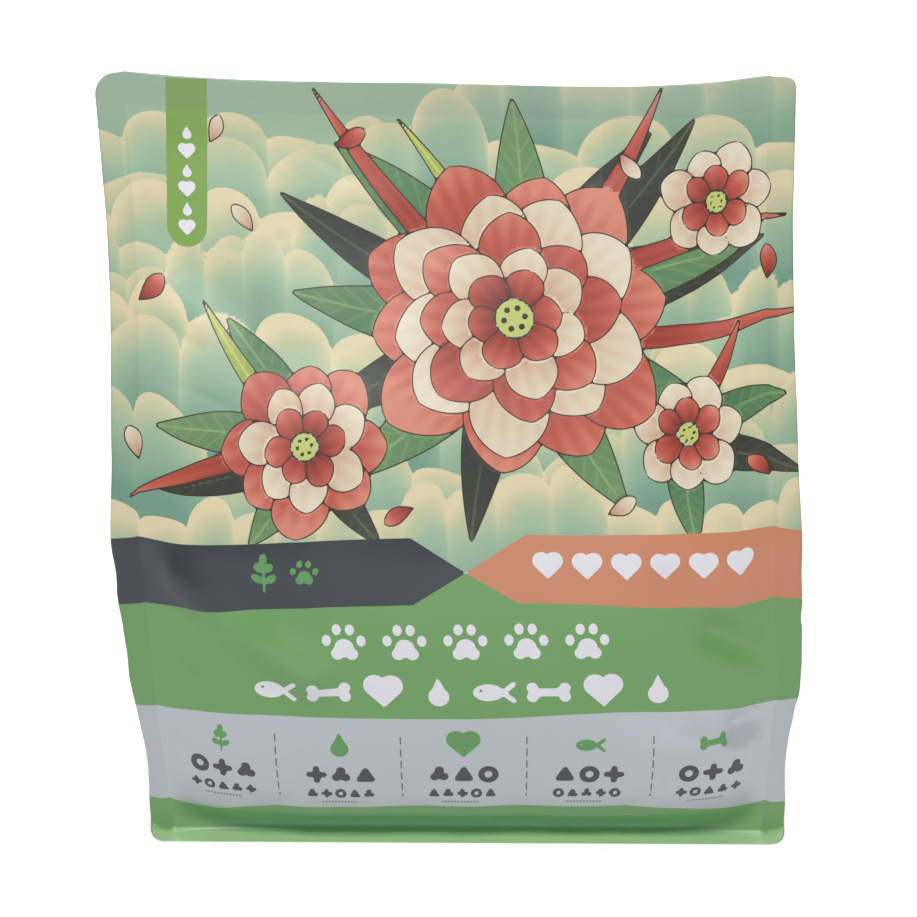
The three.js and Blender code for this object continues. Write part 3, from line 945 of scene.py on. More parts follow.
@dataclass
class FrontPrint:
    """The generic print: hills, leaves and blossoms over bands of colour, plainer on the back and sides."""

    plan: PrintPlan = field(default_factory=PrintPlan)
    rows: int = 9
    crown_depth: float = 36.0

    def paint(self, u: Array, v: Array) -> Painter:
        """Paints the whole front.

        Args:
            u: places across the film.
            v: places up the film.

        Returns:
            The painter with its fields.
        """
        painter = Painter(u, v)
        self._hills(painter)
        self._foliage(painter)
        self._blossoms(painter)
        self._bands(painter)
        self._marks(painter)
        return painter

    def paint_plain(self, u: Array, v: Array) -> Painter:
        """Paints only the hills and the colour fields, for the gussets.

        Args:
            u: places across the film.
            v: places up the film.

        Returns:
            The painter with every ink laid.
        """
        painter = Painter(u, v)
        self._hills(painter)
        self._bands(painter)
        return painter

    def paint_back(self, u: Array, v: Array) -> Painter:
        """Paints the back: hills, colour fields and one small spray of leaves and petals.

        Args:
            u: places across the film.
            v: places up the film.

        Returns:
            The painter with every ink laid.
        """
        painter = Painter(u, v)
        self._hills(painter)
        middle = (-30.0, 200.0)
        spray = ((20, 58), (75, 50), (130, 60), (200, 54), (250, 46), (320, 56))
        for number, (angle, length) in enumerate(spray):
            ink = Ink.DARK_LEAF_A if number % 2 else Ink.LEAF_A
            painter.petal(Petal(middle, angle, length, 15.0, 0.12, 0.45, 0.85), ink)
        rings = ((8, 29.0, 19.0, 0.0, "coral"), (7, 20.0, 13.0, 22.0, "cream"))
        self._rosette(painter, middle, rings)
        self._bands(painter)
        return painter

    def _hills(self, painter: Painter) -> None:
        """Rows of round treetops on rolling ridges, back to front: each crown is lit on its left.

        A crown's rim is ridge + r * sqrt(1 - w^2), w being the share across it from -1 to 1.

        Args:
            painter: takes the inks.
        """
        u, v = painter.u, painter.v
        for number in range(self.rows):
            ink = Ink.HILL_A if number % 2 else Ink.HILL_B
            height = 274.0 - 17.0 * number + 0.09 * u * math.cos(0.6 * number)
            swell = 10.0 * math.cos(0.9 * number)
            ripple = 0.5 * np.sin(u / 15.0 + 2.3 * number)
            slow = np.sin(u / (34.0 + 3.0 * (number % 4)) + 1.7 * number) + ripple
            pitch = 22.0 + 7.0 * math.sin(1.3 * number)
            place = (u + 4.0 * np.sin(u / 25.0 + number)) / pitch + 0.37 * number
            w = 2.0 * (place - np.floor(place)) - 1.0
            tall = 0.62 + 0.4 * np.sin(2.4 * np.floor(place) + 1.9 * number)
            crown = height + swell * slow + 0.6 * pitch * tall * np.sqrt(np.maximum(1.0 - w * w, 0.0))
            signed = (v - crown) * 0.7
            painter.lay(signed, ink)
            depth = (crown - v) / self.crown_depth + 0.1 * math.sin(2.1 * number + 0.4) + 0.06 * w
            painter.depths[ink] = np.where(signed < 1.5, depth, painter.depths[ink])

    def _foliage(self, painter: Painter) -> None:
        """Long leaves that sweep out from behind the blossoms: root, angle, length, width, bend, fullest.

        Args:
            painter: takes the inks.
        """
        dark = (
            ((24, 206), 38, 92, 17, 0.16, 0.42),
            ((26, 206), 62, 78, 16, -0.14, 0.42),
            ((20, 204), 8, 96, 16, 0.14, 0.45),
            ((22, 200), 196, 84, 17, 0.15, 0.42),
            ((20, 202), 160, 92, 16, -0.16, 0.45),
            ((22, 200), 250, 74, 18, 0.12, 0.42),
            ((-50, 160), 205, 58, 12, -0.12, 0.45),
            ((-50, 160), 300, 42, 11, 0.12, 0.45),
            ((80, 166), 330, 48, 12, 0.14, 0.45),
        )
        green = (
            ((24, 206), 22, 84, 20, -0.12, 0.45),
            ((24, 206), 84, 74, 20, 0.12, 0.45),
            ((22, 204), 128, 86, 21, 0.14, 0.45),
            ((22, 200), 178, 80, 20, -0.12, 0.45),
            ((24, 200), 226, 82, 20, -0.12, 0.45),
            ((26, 198), 292, 68, 20, 0.14, 0.45),
            ((26, 198), 342, 82, 19, -0.14, 0.45),
            ((-50, 160), 118, 52, 15, 0.14, 0.45),
            ((-50, 160), 170, 56, 15, 0.12, 0.45),
            ((-50, 160), 245, 40, 14, -0.12, 0.45),
            ((80, 166), 20, 40, 13, -0.12, 0.45),
            ((80, 166), 268, 40, 13, 0.1, 0.45),
        )
        slender = (
            ((24, 206), 30, 104, 8, -0.22, 0.4),
            ((24, 206), 46, 96, 8, 0.2, 0.4),
            ((22, 206), 110, 80, 7, 0.2, 0.4),
            ((22, 204), 142, 108, 8, -0.2, 0.4),
            ((26, 200), 318, 84, 8, 0.24, 0.4),
            ((26, 200), 352, 104, 8, 0.2, 0.4),
            ((-50, 160), 140, 64, 7, -0.2, 0.4),
            ((-50, 160), 188, 72, 7, 0.2, 0.4),
            ((80, 166), 48, 44, 6, 0.2, 0.4),
        )
        for number, leaf in enumerate(dark):
            ink = Ink.DARK_LEAF_A if number % 2 else Ink.DARK_LEAF_B
            painter.petal(Petal(*leaf, 0.9), ink, 0.1 * math.sin(number))
        for number, leaf in enumerate(green):
            ink = Ink.LEAF_A if number % 2 else Ink.LEAF_B
            painter.petal(Petal(*leaf, 0.85), ink, 0.12 * math.sin(1.7 * number))
        coral = (Ink.CORAL_A, Ink.CORAL_B, Ink.ACCENT, Ink.CORAL_C)
        for number, leaf in enumerate(slender):
            painter.petal(Petal(*leaf, 0.9), coral[number % 4], -0.05)

    def _rosette(self, painter: Painter, middle: tuple[float, float], rings: tuple[Ring, ...]) -> None:
        """Rings of petals round a point, the widest ring first, each ring's petals lapping like tiles.

        Args:
            painter: takes the inks.
            middle: the blossom's middle on the film.
            rings: count, length, width, first angle and tone of each ring of petals.
        """
        inks = {
            "coral": (Ink.CORAL_A, Ink.CORAL_B, Ink.CORAL_C),
            "cream": (Ink.CREAM_A, Ink.CREAM_B),
        }
        for level, (count, length, width, start, tone) in enumerate(rings):
            for number in range(count):
                angle = start + 360.0 * number / count
                away = 1.0 + 0.07 * math.sin(2.3 * number + level)
                bend = 0.1 * math.sin(1.9 * number + level)
                shape = Petal(middle, angle, length * away, width * away, bend, 0.66, 0.62)
                shade = 0.14 * math.sin(1.3 * number + 2.0 * level) - 0.05 * level
                last = number == count - 1 and count % 3 == 1
                pick = 1 if last else (number + level) % len(inks[tone])
                painter.petal(shape, inks[tone][pick], shade)

    def _blossoms(self, painter: Painter) -> None:
        """One large blossom, one middling and two small, their seeded hearts, and loose petals.

        Args:
            painter: takes the inks.
        """
        u, v = painter.u, painter.v
        large = (
            (10, 54.0, 30.0, 8.0, "coral"),
            (9, 45.0, 27.0, 26.0, "cream"),
            (8, 36.0, 22.0, 4.0, "coral"),
            (7, 27.0, 18.0, 30.0, "cream"),
            (6, 18.0, 14.0, 12.0, "coral"),
        )
        middle = (
            (8, 29.0, 19.0, 0.0, "coral"),
            (7, 22.0, 14.0, 22.0, "cream"),
            (6, 14.0, 10.0, 8.0, "coral"),
        )
        small = ((7, 20.0, 14.0, 10.0, "cream"), (6, 13.0, 9.0, 30.0, "coral"))
        self._rosette(painter, (-52.0, 160.0), middle)
        self._rosette(painter, (82.0, 164.0), small)
        self._rosette(painter, (22.0, 204.0), large)
        self._rosette(painter, (94.0, 244.0), small)
        hearts = (((22.0, 204.0), 6.5), ((-52.0, 160.0), 4.4), ((82.0, 164.0), 3.6), ((94.0, 244.0), 3.6))
        for place, radius in hearts:
            inside = disc(u, v, place, radius)
            painter.lay(disc(u, v, place, radius + 0.7), Ink.OUTLINE)
            painter.lay(inside, Ink.ACCENT)
            painter.note(inside, np.full(u.shape, 0.6), np.zeros(u.shape), 0.0)
            away = 0.58 * radius
            for number in range(6):
                turn = math.radians(60.0 * number + 12.0)
                seed = (place[0] + away * math.cos(turn), place[1] + away * math.sin(turn))
                painter.lay(disc(u, v, seed, 0.17 * radius), Ink.OUTLINE)
        loose = (
            (-112, 205, 40, 14),
            (-70, 232, 120, 12),
            (-40, 262, 20, 13),
            (60, 262, 300, 12),
            (112, 214, 80, 13),
            (-112, 150, 100, 13),
            (-14, 140, 200, 12),
            (52, 138, 20, 12),
            (112, 146, 130, 12),
            (-84, 262, 60, 11),
        )
        for number, (x, y, angle, length) in enumerate(loose):
            ink = (Ink.CORAL_A, Ink.CREAM_B)[number % 2]
            painter.petal(Petal((x, y), angle, length, 0.5 * length, 0.12, 0.6, 0.7), ink, 0.05)

    def _bands(self, painter: Painter) -> None:
        """The fields of colour under and over the picture: |v - point| sets the bands' slanted ends.

        Args:
            painter: takes the inks.
        """
        plan, u, v = self.plan, painter.u, painter.v
        slant = math.hypot(1.0, plan.slant)
        wedge = plan.slant * np.abs(v - plan.point[1])
        between = np.maximum(v - plan.band_top(u), plan.band_foot(u) - v)
        painter.lay(v - plan.point[1], Ink.GREEN_FIELD)
        painter.lay(np.maximum(v - plan.strip_top(u), plan.strip_foot(u) - v), Ink.SILVER_STRIP)
        painter.lay(np.maximum(between, (u - plan.point[0] + wedge) / slant), Ink.NIGHT_BAND)
        painter.lay(np.maximum(between, (plan.point[0] + wedge - u) / slant), Ink.ORANGE_BAND)

    def _marks(self, painter: Painter) -> None:
        """The tag that hangs from the top, and small plain shapes on it, the bands and the strip.

        Args:
            painter: takes the inks.
        """
        plan, u, v = self.plan, painter.u, painter.v
        off = u - plan.tag_middle - plan.tag_lean * (v - plan.tag_foot)
        painter.lay(np.hypot(off, np.minimum(v - plan.tag_foot, 0.0)) - plan.tag_half, Ink.TAG)
        for number in range(5):
            painter.lay(paw(u, v, (-40.0 + 20.8 * number, 92.6 + 0.2 * number), 16.0), Ink.WHITE_MARK)
        for number, mark in enumerate((fish, bone, heart, drop) * 2):
            size = 15.5 if mark in (fish, bone) else 12.5
            painter.lay(mark(u, v, (-65.5 + 18.9 * number, 74.0 + 0.1 * number), size), Ink.WHITE_MARK)
        for number in range(6):
            painter.lay(heart(u, v, (31.0 + 13.4 * number, 120.4 - 0.3 * number), 9.5), Ink.WHITE_MARK)
        painter.lay(sprig(u, v, (-66.0, 117.6), 14.0), Ink.GREEN_MARK)
        painter.lay(paw(u, v, (-52.0, 117.8), 10.5), Ink.GREEN_MARK)
        for number in range(6):
            height = 232.5 + 6.6 * number
            middle = plan.tag_middle + plan.tag_lean * (height - plan.tag_foot)
            mark = drop if number % 2 else heart
            painter.lay(mark(u, v, (middle, height), 5.6), Ink.WHITE_MARK)
        icons = (sprig, drop, heart, fish, bone)
        for number, (place, icon) in enumerate(zip(plan.icon_places, icons)):
            painter.lay(icon(u, v, (place, plan.icon_height), 11.0), Ink.GREEN_MARK)
            for piece in range(3):
                at = (place + 8.6 * (piece - 1), plan.icon_height - 12.3)
                painter.lay(kibble(u, v, at, 7.6, piece + number), Ink.DARK_MARK)
            for piece in range(5):
                at = (place - 0.6 + 5.0 * (piece - 2), plan.icon_height - 20.4)
                painter.lay(kibble(u, v, at, 4.4, 3 * piece + number + 1), Ink.DARK_MARK)


def linear(colour: tuple[int, int, int]) -> tuple[float, float, float, float]:
    """A display colour of 0 to 255 as the linear one the shader takes, by the sRGB curve."""
    parts = [c / 255.0 for c in colour]
    values = [p / 12.92 if p <= 0.04045 else ((p + 0.055) / 1.055) ** 2.4 for p in parts]
    return (values[0], values[1], values[2], 1.0)


Socket = bpy.types.NodeSocket
Stops = tuple[tuple[float, tuple[int, int, int]], ...]


class Graph:
    """A material's node tree, with one short call for each kind of node."""

    def __init__(self, name: str) -> None:
        """Starts an empty tree.

        Args:
            name: the material's name.
        """
        self.material = bpy.data.materials.new(name)
        self.material.use_nodes = True
        self.tree = self.material.node_tree
        self.tree.nodes.clear()

    def node(self, kind: str, **settings: object) -> bpy.types.Node:
        """A node of a kind, with its settings.

        Args:
            kind: the node's type.
            settings: values for its own options.

        Returns:
            The new node.
        """
        made = self.tree.nodes.new(kind)
        for name, value in settings.items():
            setattr(made, name, value)
        return made

    def feed(self, socket: Socket, value: Socket | float | tuple) -> None:
        """Links a value to a socket, or sets it there.

        Args:
            socket: the input.
            value: an output to link, or a plain value.
        """
        if isinstance(value, bpy.types.NodeSocket):
            self.tree.links.new(value, socket)
        else:
            socket.default_value = value

    def math(self, operation: str, *values: Socket | float, clamp: bool = False) -> Socket:
        """The result of one Math node.

        Args:
            operation: what to do.
            values: up to three outputs or numbers.
            clamp: keeps the result between 0 and 1.

        Returns:
            The node's output.
        """
        made = self.node("ShaderNodeMath", operation=operation, use_clamp=clamp)
        for socket, value in zip(made.inputs, values):
            self.feed(socket, value)
        return made.outputs[0]

    def attribute(self, name: str) -> Socket:
        """A number stored on the mesh."""
        return self.node("ShaderNodeAttribute", attribute_name=name).outputs["Fac"]

    def film(self) -> tuple[Socket, Socket]:
        """The film coordinates across and up, in millimetres.

        Returns:
            The outputs across and up, in millimetres.
        """
        uv = self.node("ShaderNodeUVMap", uv_map="Film")
        parts = self.node("ShaderNodeSeparateXYZ")
        self.feed(parts.inputs[0], uv.outputs[0])
        across = self.math("MULTIPLY_ADD", parts.outputs[0], UV_SPAN, -UV_SPAN / 2.0)
        return across, self.math("MULTIPLY", parts.outputs[1], UV_SPAN)

    def mix(self, share: Socket | float, first: Socket | tuple, second: Socket | tuple) -> Socket:
        """Two colours mixed by a share.

        Args:
            share: how much of the second colour.
            first: the colour at 0.
            second: the colour at 1.

        Returns:
            The mixed colour.
        """
        made = self.node("ShaderNodeMix", data_type="RGBA", blend_type="MIX")
        self.feed(made.inputs[0], share)
        self.feed(made.inputs[6], first)
        self.feed(made.inputs[7], second)
        return made.outputs[2]

    def ramp(self, value: Socket, stops: Stops) -> Socket:
        """A colour ramp through display colours.

        Args:
            value: the place on the ramp.
            stops: places with their colours as written on screen.

        Returns:
            The colour there.
        """
        made = self.node("ShaderNodeValToRGB")
        elements = made.color_ramp.elements
        elements[0].position, elements[0].color = stops[0][0], linear(stops[0][1])
        elements[1].position, elements[1].color = stops[-1][0], linear(stops[-1][1])
        for place, colour in stops[1:-1]:
            elements.new(place).color = linear(colour)
        self.feed(made.inputs[0], value)
        return made.outputs[0]

    def noise(self, size: float, detail: float, squash: tuple[float, float, float] = (1, 1, 1)) -> Socket:
        """Noise on Object coordinates whose features are about size millimetres wide.

        Args:
            size: millimetres from one bump to the next.
            detail: how many finer layers it has.
            squash: how much finer it is along each axis.

        Returns:
            Noise around one half.
        """
        place = self.node("ShaderNodeTexCoord").outputs["Object"]
        scaled = self.node("ShaderNodeMapping", vector_type="POINT")
        scaled.inputs["Scale"].default_value = tuple(s / (size * MM) for s in squash)
        self.feed(scaled.inputs["Vector"], place)
        made = self.node("ShaderNodeTexNoise")
        made.inputs["Scale"].default_value = 1.0
        made.inputs["Detail"].default_value = detail
        self.feed(made.inputs["Vector"], scaled.outputs[0])
        return made.outputs["Fac"]

    def between(self, value: Socket, low: float, high: float) -> Socket:
        """1 where a value lies between two limits."""
        above = self.math("GREATER_THAN", value, low)
        return self.math("MULTIPLY", above, self.math("LESS_THAN", value, high))


@dataclass(frozen=True)
class FilmFinish:
    """Satin laminate film with printed inks under it, and ribbed heat seals."""

    name: str
    divided: bool = False
    roughness: float = 0.43
    seal_roughness: float = 0.54
    smudge: float = 0.1
    coat: float = 0.1
    coat_roughness: float = 0.3
    strip_metal: float = 0.2
    mottle: float = 0.05
    seal_dark: float = 0.07
    seal_grey: float = 0.12
    top_pitch: float = 1.0
    side_pitch: float = 1.25
    # Painted sheen on the bottom fin: how far its colour is mixed towards a pale green, and that green,
    # standing in for the light the fin catches.
    fin_painted_sheen: float = 0.42
    fin_sheen_colour: tuple[int, int, int] = (206, 238, 188)
    # Darkening of the side seals: partly the sealed film's own darker tone, partly painted shade where the
    # film turns away at the edges.
    side_seal_dark_and_shade: float = 0.06
    # Painted bounce light under the belly: how far its colour is mixed towards a light blue-green, and that
    # colour, standing in for light reflected from the floor.
    underside_bounce_share: float = 0.48
    under: tuple[int, int, int] = (138, 212, 156)
    top_rib: float = 0.014
    side_rib: float = 0.007
    crinkle: float = 0.16
    haze: float = 0.012
    sky: Stops = (
        (0.0, (196, 216, 192)),
        (0.35, (168, 200, 172)),
        (0.7, (150, 188, 162)),
        (1.0, (166, 194, 164)),
    )
    hill: Stops = (
        (0.0, (232, 220, 180)),
        (0.08, (222, 213, 174)),
        (0.2, (198, 206, 168)),
        (0.42, (164, 194, 164)),
        (1.0, (120, 162, 142)),
    )
    coral: Stops = (
        (0.0, (104, 40, 36)),
        (0.35, (162, 66, 54)),
        (0.72, (198, 96, 80)),
        (1.0, (222, 142, 120)),
    )
    cream: Stops = (
        (0.0, (196, 108, 88)),
        (0.35, (212, 172, 146)),
        (0.7, (226, 208, 182)),
        (1.0, (236, 226, 204)),
    )
    leaf: Stops = ((0.0, (62, 96, 70)), (0.45, (94, 136, 94)), (1.0, (138, 172, 116)))
    dark_leaf: Stops = ((0.0, (44, 44, 42)), (0.6, (62, 66, 58)), (1.0, (92, 100, 78)))
    accent: Stops = ((0.0, (120, 134, 62)), (0.5, (176, 190, 92)), (1.0, (208, 214, 130)))
    outline: tuple[int, int, int] = (64, 52, 46)
    green: tuple[int, int, int] = (113, 164, 98)
    silver: tuple[int, int, int] = (190, 195, 202)
    night: tuple[int, int, int] = (50, 55, 63)
    orange: tuple[int, int, int] = (212, 140, 106)
    tag: tuple[int, int, int] = (132, 172, 84)
    white: tuple[int, int, int] = (238, 236, 244)
    green_mark: tuple[int, int, int] = (96, 158, 92)
    dark_mark: tuple[int, int, int] = (66, 70, 76)

    def material(self, plan: PrintPlan, form: BagForm) -> bpy.types.Material:
        """Builds the material: inks one over another, painted sheen and bounce light low down, side seals
        darkened partly as painted shade, then gloss, seal ribs and film unevenness.

        Args:
            plan: where the colour fields lie.
            form: the bag's sizes.

        Returns:
            The node material.
        """
        graph = Graph(self.name)
        across, up = graph.film()
        colour = self._picture(graph, up)
        colour = self._inks(graph, colour)
        if self.divided:
            colour = self._dividers(graph, colour, across, up, plan)
        seal, flank, ribs = self._seals(graph, across, up, form)
        # Painted sheen: the bottom fin, below about 5 mm up the film, is mixed towards a pale green that
        # stands in for the light it catches.
        fin = graph.math("MULTIPLY_ADD", up, -0.6, 0.6 * (form.bottom_seal - 2.8) + 0.5, clamp=True)
        colour = graph.mix(graph.math("MULTIPLY", fin, self.fin_painted_sheen), colour, linear(self.fin_sheen_colour))
        # Painted bounce light: from the fin up to about 22 mm, fading out from about 80 mm across towards
        # the side seals, the film is mixed towards a light blue-green that stands in for light reflected up
        # from the floor.
        low = graph.math("MULTIPLY_ADD", up, -0.1, 2.2, clamp=True)
        inner = graph.math("MULTIPLY_ADD", graph.math("ABSOLUTE", across), -0.04, 4.2, clamp=True)
        bounce_share = graph.math("MULTIPLY", inner, self.underside_bounce_share)
        under = graph.math("MULTIPLY", graph.math("SUBTRACT", low, fin), bounce_share)
        colour = graph.mix(under, colour, linear(self.under))
        grain = graph.noise(1.3, 3.0)
        mottle = graph.math("MULTIPLY_ADD", grain, self.mottle, 1.0 - self.mottle / 2.0)
        level = graph.math("MULTIPLY", mottle, graph.math("MULTIPLY_ADD", seal, -self.seal_dark, 1.0))
        # The side seals are darkened: partly the sealed film's own tone, partly painted shade at the bag's
        # edges.
        level = graph.math("MULTIPLY", level, graph.math("MULTIPLY_ADD", flank, -self.side_seal_dark_and_shade, 1.0))
        grey = graph.node("ShaderNodeHueSaturation")
        graph.feed(grey.inputs["Saturation"], graph.math("MULTIPLY_ADD", seal, -self.seal_grey, 1.0))
        graph.feed(grey.inputs["Value"], level)
        graph.feed(grey.inputs["Color"], colour)
        shader = graph.node("ShaderNodeBsdfPrincipled")
        graph.feed(shader.inputs["Base Color"], grey.outputs[0])
        metal = graph.math("LESS_THAN", graph.attribute(Ink.SILVER_STRIP.value), 0.0)
        graph.feed(shader.inputs["Metallic"], graph.math("MULTIPLY", metal, self.strip_metal))
        least = self.roughness - self.smudge / 2.0
        smudge = graph.math("MULTIPLY_ADD", graph.noise(38.0, 3.0), self.smudge, least)
        extra = graph.math("MULTIPLY", seal, self.seal_roughness - self.roughness)
        graph.feed(shader.inputs["Roughness"], graph.math("ADD", smudge, extra))
        shader.inputs["IOR"].default_value = 1.5
        shader.inputs["Coat Weight"].default_value = self.coat
        shader.inputs["Coat Roughness"].default_value = self.coat_roughness
        graph.feed(shader.inputs["Normal"], self._relief(graph, ribs))
        output = graph.node("ShaderNodeOutputMaterial")
        graph.feed(output.inputs["Surface"], shader.outputs[0])
        return graph.material

    def _picture(self, graph: Graph, up: Socket) -> Socket:
        """The pale sky behind the hills, graded up the film.

        Args:
            graph: takes the nodes.
            up: millimetres up the film.

        Returns:
            The sky's colour.
        """
        height = graph.math("MULTIPLY_ADD", up, 1.0 / 160.0, -0.75)
        cloud = graph.noise(42.0, 4.0, (1.0, 1.0, 2.0))
        lifted = graph.math("ADD", height, graph.math("MULTIPLY_ADD", cloud, 0.5, -0.25))
        return graph.ramp(lifted, self.sky)

    def _inks(self, graph: Graph, colour: Socket) -> Socket:
        """Lays each ink where its field is negative, shaded along and across its own shape.

        Args:
            graph: takes the nodes.
            colour: what the inks are laid on.

        Returns:
            The colour with every ink.
        """
        along, across = graph.attribute("along"), graph.attribute("across")
        shade = graph.attribute("shade")
        spread = graph.math("DIVIDE", across, graph.math("ADD", along, 0.12))
        streak = graph.math("MULTIPLY", graph.math("SINE", graph.math("MULTIPLY", spread, 0.95)), 0.055)
        petal_place = graph.math("ADD", graph.math("ADD", along, streak), shade)
        folded = graph.math("ABSOLUTE", across)
        fanned = graph.math("MULTIPLY", folded, 1.2)
        rows = graph.math("SUBTRACT", graph.math("MULTIPLY", along, 62.0), fanned)
        side_vein = graph.math("GREATER_THAN", graph.math("SINE", rows), 0.8)
        rib = graph.math("MULTIPLY", graph.math("LESS_THAN", folded, 0.45), 0.4)
        vein = graph.math("MAXIMUM", graph.math("MULTIPLY", side_vein, 0.14), rib)
        graded = graph.math("MULTIPLY_ADD", along, 0.55, 0.12)
        leaf_place = graph.math("ADD", graded, graph.math("ADD", vein, shade))
        leafy = graph.math("MULTIPLY_ADD", graph.noise(13.0, 4.0), 0.3, -0.15)
        hills = [
            graph.ramp(graph.math("ADD", graph.attribute(f"{ink.value}_depth"), leafy), self.hill)
            for ink in (Ink.HILL_A, Ink.HILL_B)
        ]
        coral = graph.ramp(petal_place, self.coral)
        cream = graph.ramp(petal_place, self.cream)
        leaf = graph.ramp(leaf_place, self.leaf)
        dark = graph.ramp(leaf_place, self.dark_leaf)
        colours: dict[Ink, Socket | tuple] = {
            Ink.HILL_A: hills[0],
            Ink.HILL_B: hills[1],
            Ink.OUTLINE: linear(self.outline),
            Ink.DARK_LEAF_A: dark,
            Ink.DARK_LEAF_B: dark,
            Ink.LEAF_A: leaf,
            Ink.LEAF_B: leaf,
            Ink.ACCENT: graph.ramp(leaf_place, self.accent),
            Ink.CORAL_A: coral,
            Ink.CORAL_B: coral,
            Ink.CORAL_C: coral,
            Ink.CREAM_A: cream,
            Ink.CREAM_B: cream,
            Ink.GREEN_FIELD: linear(self.green),
            Ink.SILVER_STRIP: linear(self.silver),
            Ink.NIGHT_BAND: linear(self.night),
            Ink.ORANGE_BAND: linear(self.orange),
            Ink.TAG: linear(self.tag),
            Ink.WHITE_MARK: linear(self.white),
            Ink.GREEN_MARK: linear(self.green_mark),
            Ink.DARK_MARK: linear(self.dark_mark),
        }
        for ink in Ink:
            laid = graph.math("LESS_THAN", graph.attribute(ink.value), 0.0)
            colour = graph.mix(laid, colour, colours[ink])
        return colour

    def _near(self, graph: Graph, across: Socket, places: tuple[float, ...], half: float) -> Socket:
        """1 within half a line's width of any of some places across the film.

        Args:
            graph: takes the nodes.
            across: millimetres across the film.
            places: where the lines stand.
            half: half their width in millimetres.

        Returns:
            The mask of the lines.
        """
        mask: Socket | float = 0.0
        for place in places:
            off = graph.math("ABSOLUTE", graph.math("SUBTRACT", across, place))
            mask = graph.math("ADD", mask, graph.math("LESS_THAN", off, half))
        return mask

    def _broken(self, graph: Graph, place: Socket, pitch: float, share: float) -> Socket:
        """1 on the dashes of a line, which take a share of each pitch: fract(place / pitch) < share."""
        return graph.math("LESS_THAN", graph.math("FRACT", graph.math("DIVIDE", place, pitch)), share)

    def _dividers(
        self, graph: Graph, colour: Socket, across: Socket, up: Socket, plan: PrintPlan
    ) -> Socket:
        """Four upright dashed lines on the silver strip, and a fine dotted rule under each icon.

        Args:
            graph: takes the nodes.
            colour: what the lines are laid on.
            across: millimetres across the film.
            up: millimetres up the film.
            plan: where the lines lie.

        Returns:
            The colour with the lines.
        """
        dash = self._broken(graph, up, plan.dash_pitch, plan.dash_share)
        tall = graph.between(up, *plan.divider_span)
        line = self._near(graph, across, plan.divider_places, plan.divider_half)
        mask = graph.math("MULTIPLY", graph.math("MULTIPLY", dash, tall), line)
        dotted = self._broken(graph, across, plan.dot_pitch, plan.dot_share)
        middles = tuple(place - plan.rule_shift for place in plan.icon_places)
        rule = self._near(graph, across, middles, plan.rule_half)
        band = graph.between(up, *plan.rule_span)
        dots = graph.math("MULTIPLY", graph.math("MULTIPLY", dotted, band), rule)
        share = graph.math("MULTIPLY", graph.math("MAXIMUM", mask, dots), plan.line_strength)
        return graph.mix(share, colour, linear(self.dark_mark))

    def _seals(self, graph: Graph, across: Socket, up: Socket, form: BagForm) -> tuple[Socket, ...]:
        """Where the top seal and the side seals lie, and their ribs: sin(2 pi * up / pitch).

        Args:
            graph: takes the nodes.
            across: millimetres across the film.
            up: millimetres up the film.
            form: the bag's sizes.

        Returns:
            1 on the top seal, 1 on the side seals, and the ribs' height in millimetres.
        """
        wide = graph.math("ABSOLUTE", across)
        top = graph.between(up, form.seal_line, form.film_height + 1.0)
        side = graph.between(wide, form.panel_half, form.panel_width / 2.0 + 0.3)
        body = graph.between(up, form.bottom_seal, form.seal_line)
        flank = graph.math("MULTIPLY", side, body)
        fine = graph.math("SINE", graph.math("MULTIPLY", up, 2.0 * math.pi / self.top_pitch))
        coarse = graph.math("SINE", graph.math("MULTIPLY", up, 2.0 * math.pi / self.side_pitch))
        upper = graph.math("MULTIPLY", graph.math("MULTIPLY", fine, top), self.top_rib)
        ribs = graph.math("MULTIPLY_ADD", graph.math("MULTIPLY", coarse, flank), self.side_rib, upper)
        return top, flank, ribs

    def _relief(self, graph: Graph, ribs: Socket) -> Socket:
        """The film's small relief in millimetres: seal ribs, faint crinkles and a fine haze.

        Args:
            graph: takes the nodes.
            ribs: the ribs' height in millimetres.

        Returns:
            The bumped normal.
        """
        crinkle = graph.math("MULTIPLY", graph.noise(7.0, 3.0), self.crinkle)
        haze = graph.math("MULTIPLY", graph.noise(0.8, 2.0), self.haze)
        height = graph.math("ADD", graph.math("ADD", crinkle, haze), ribs)
        bump = graph.node("ShaderNodeBump")
        bump.inputs["Strength"].default_value = 1.0
        bump.inputs["Distance"].default_value = MM
        graph.feed(bump.inputs["Height"], height)
        return bump.outputs[0]


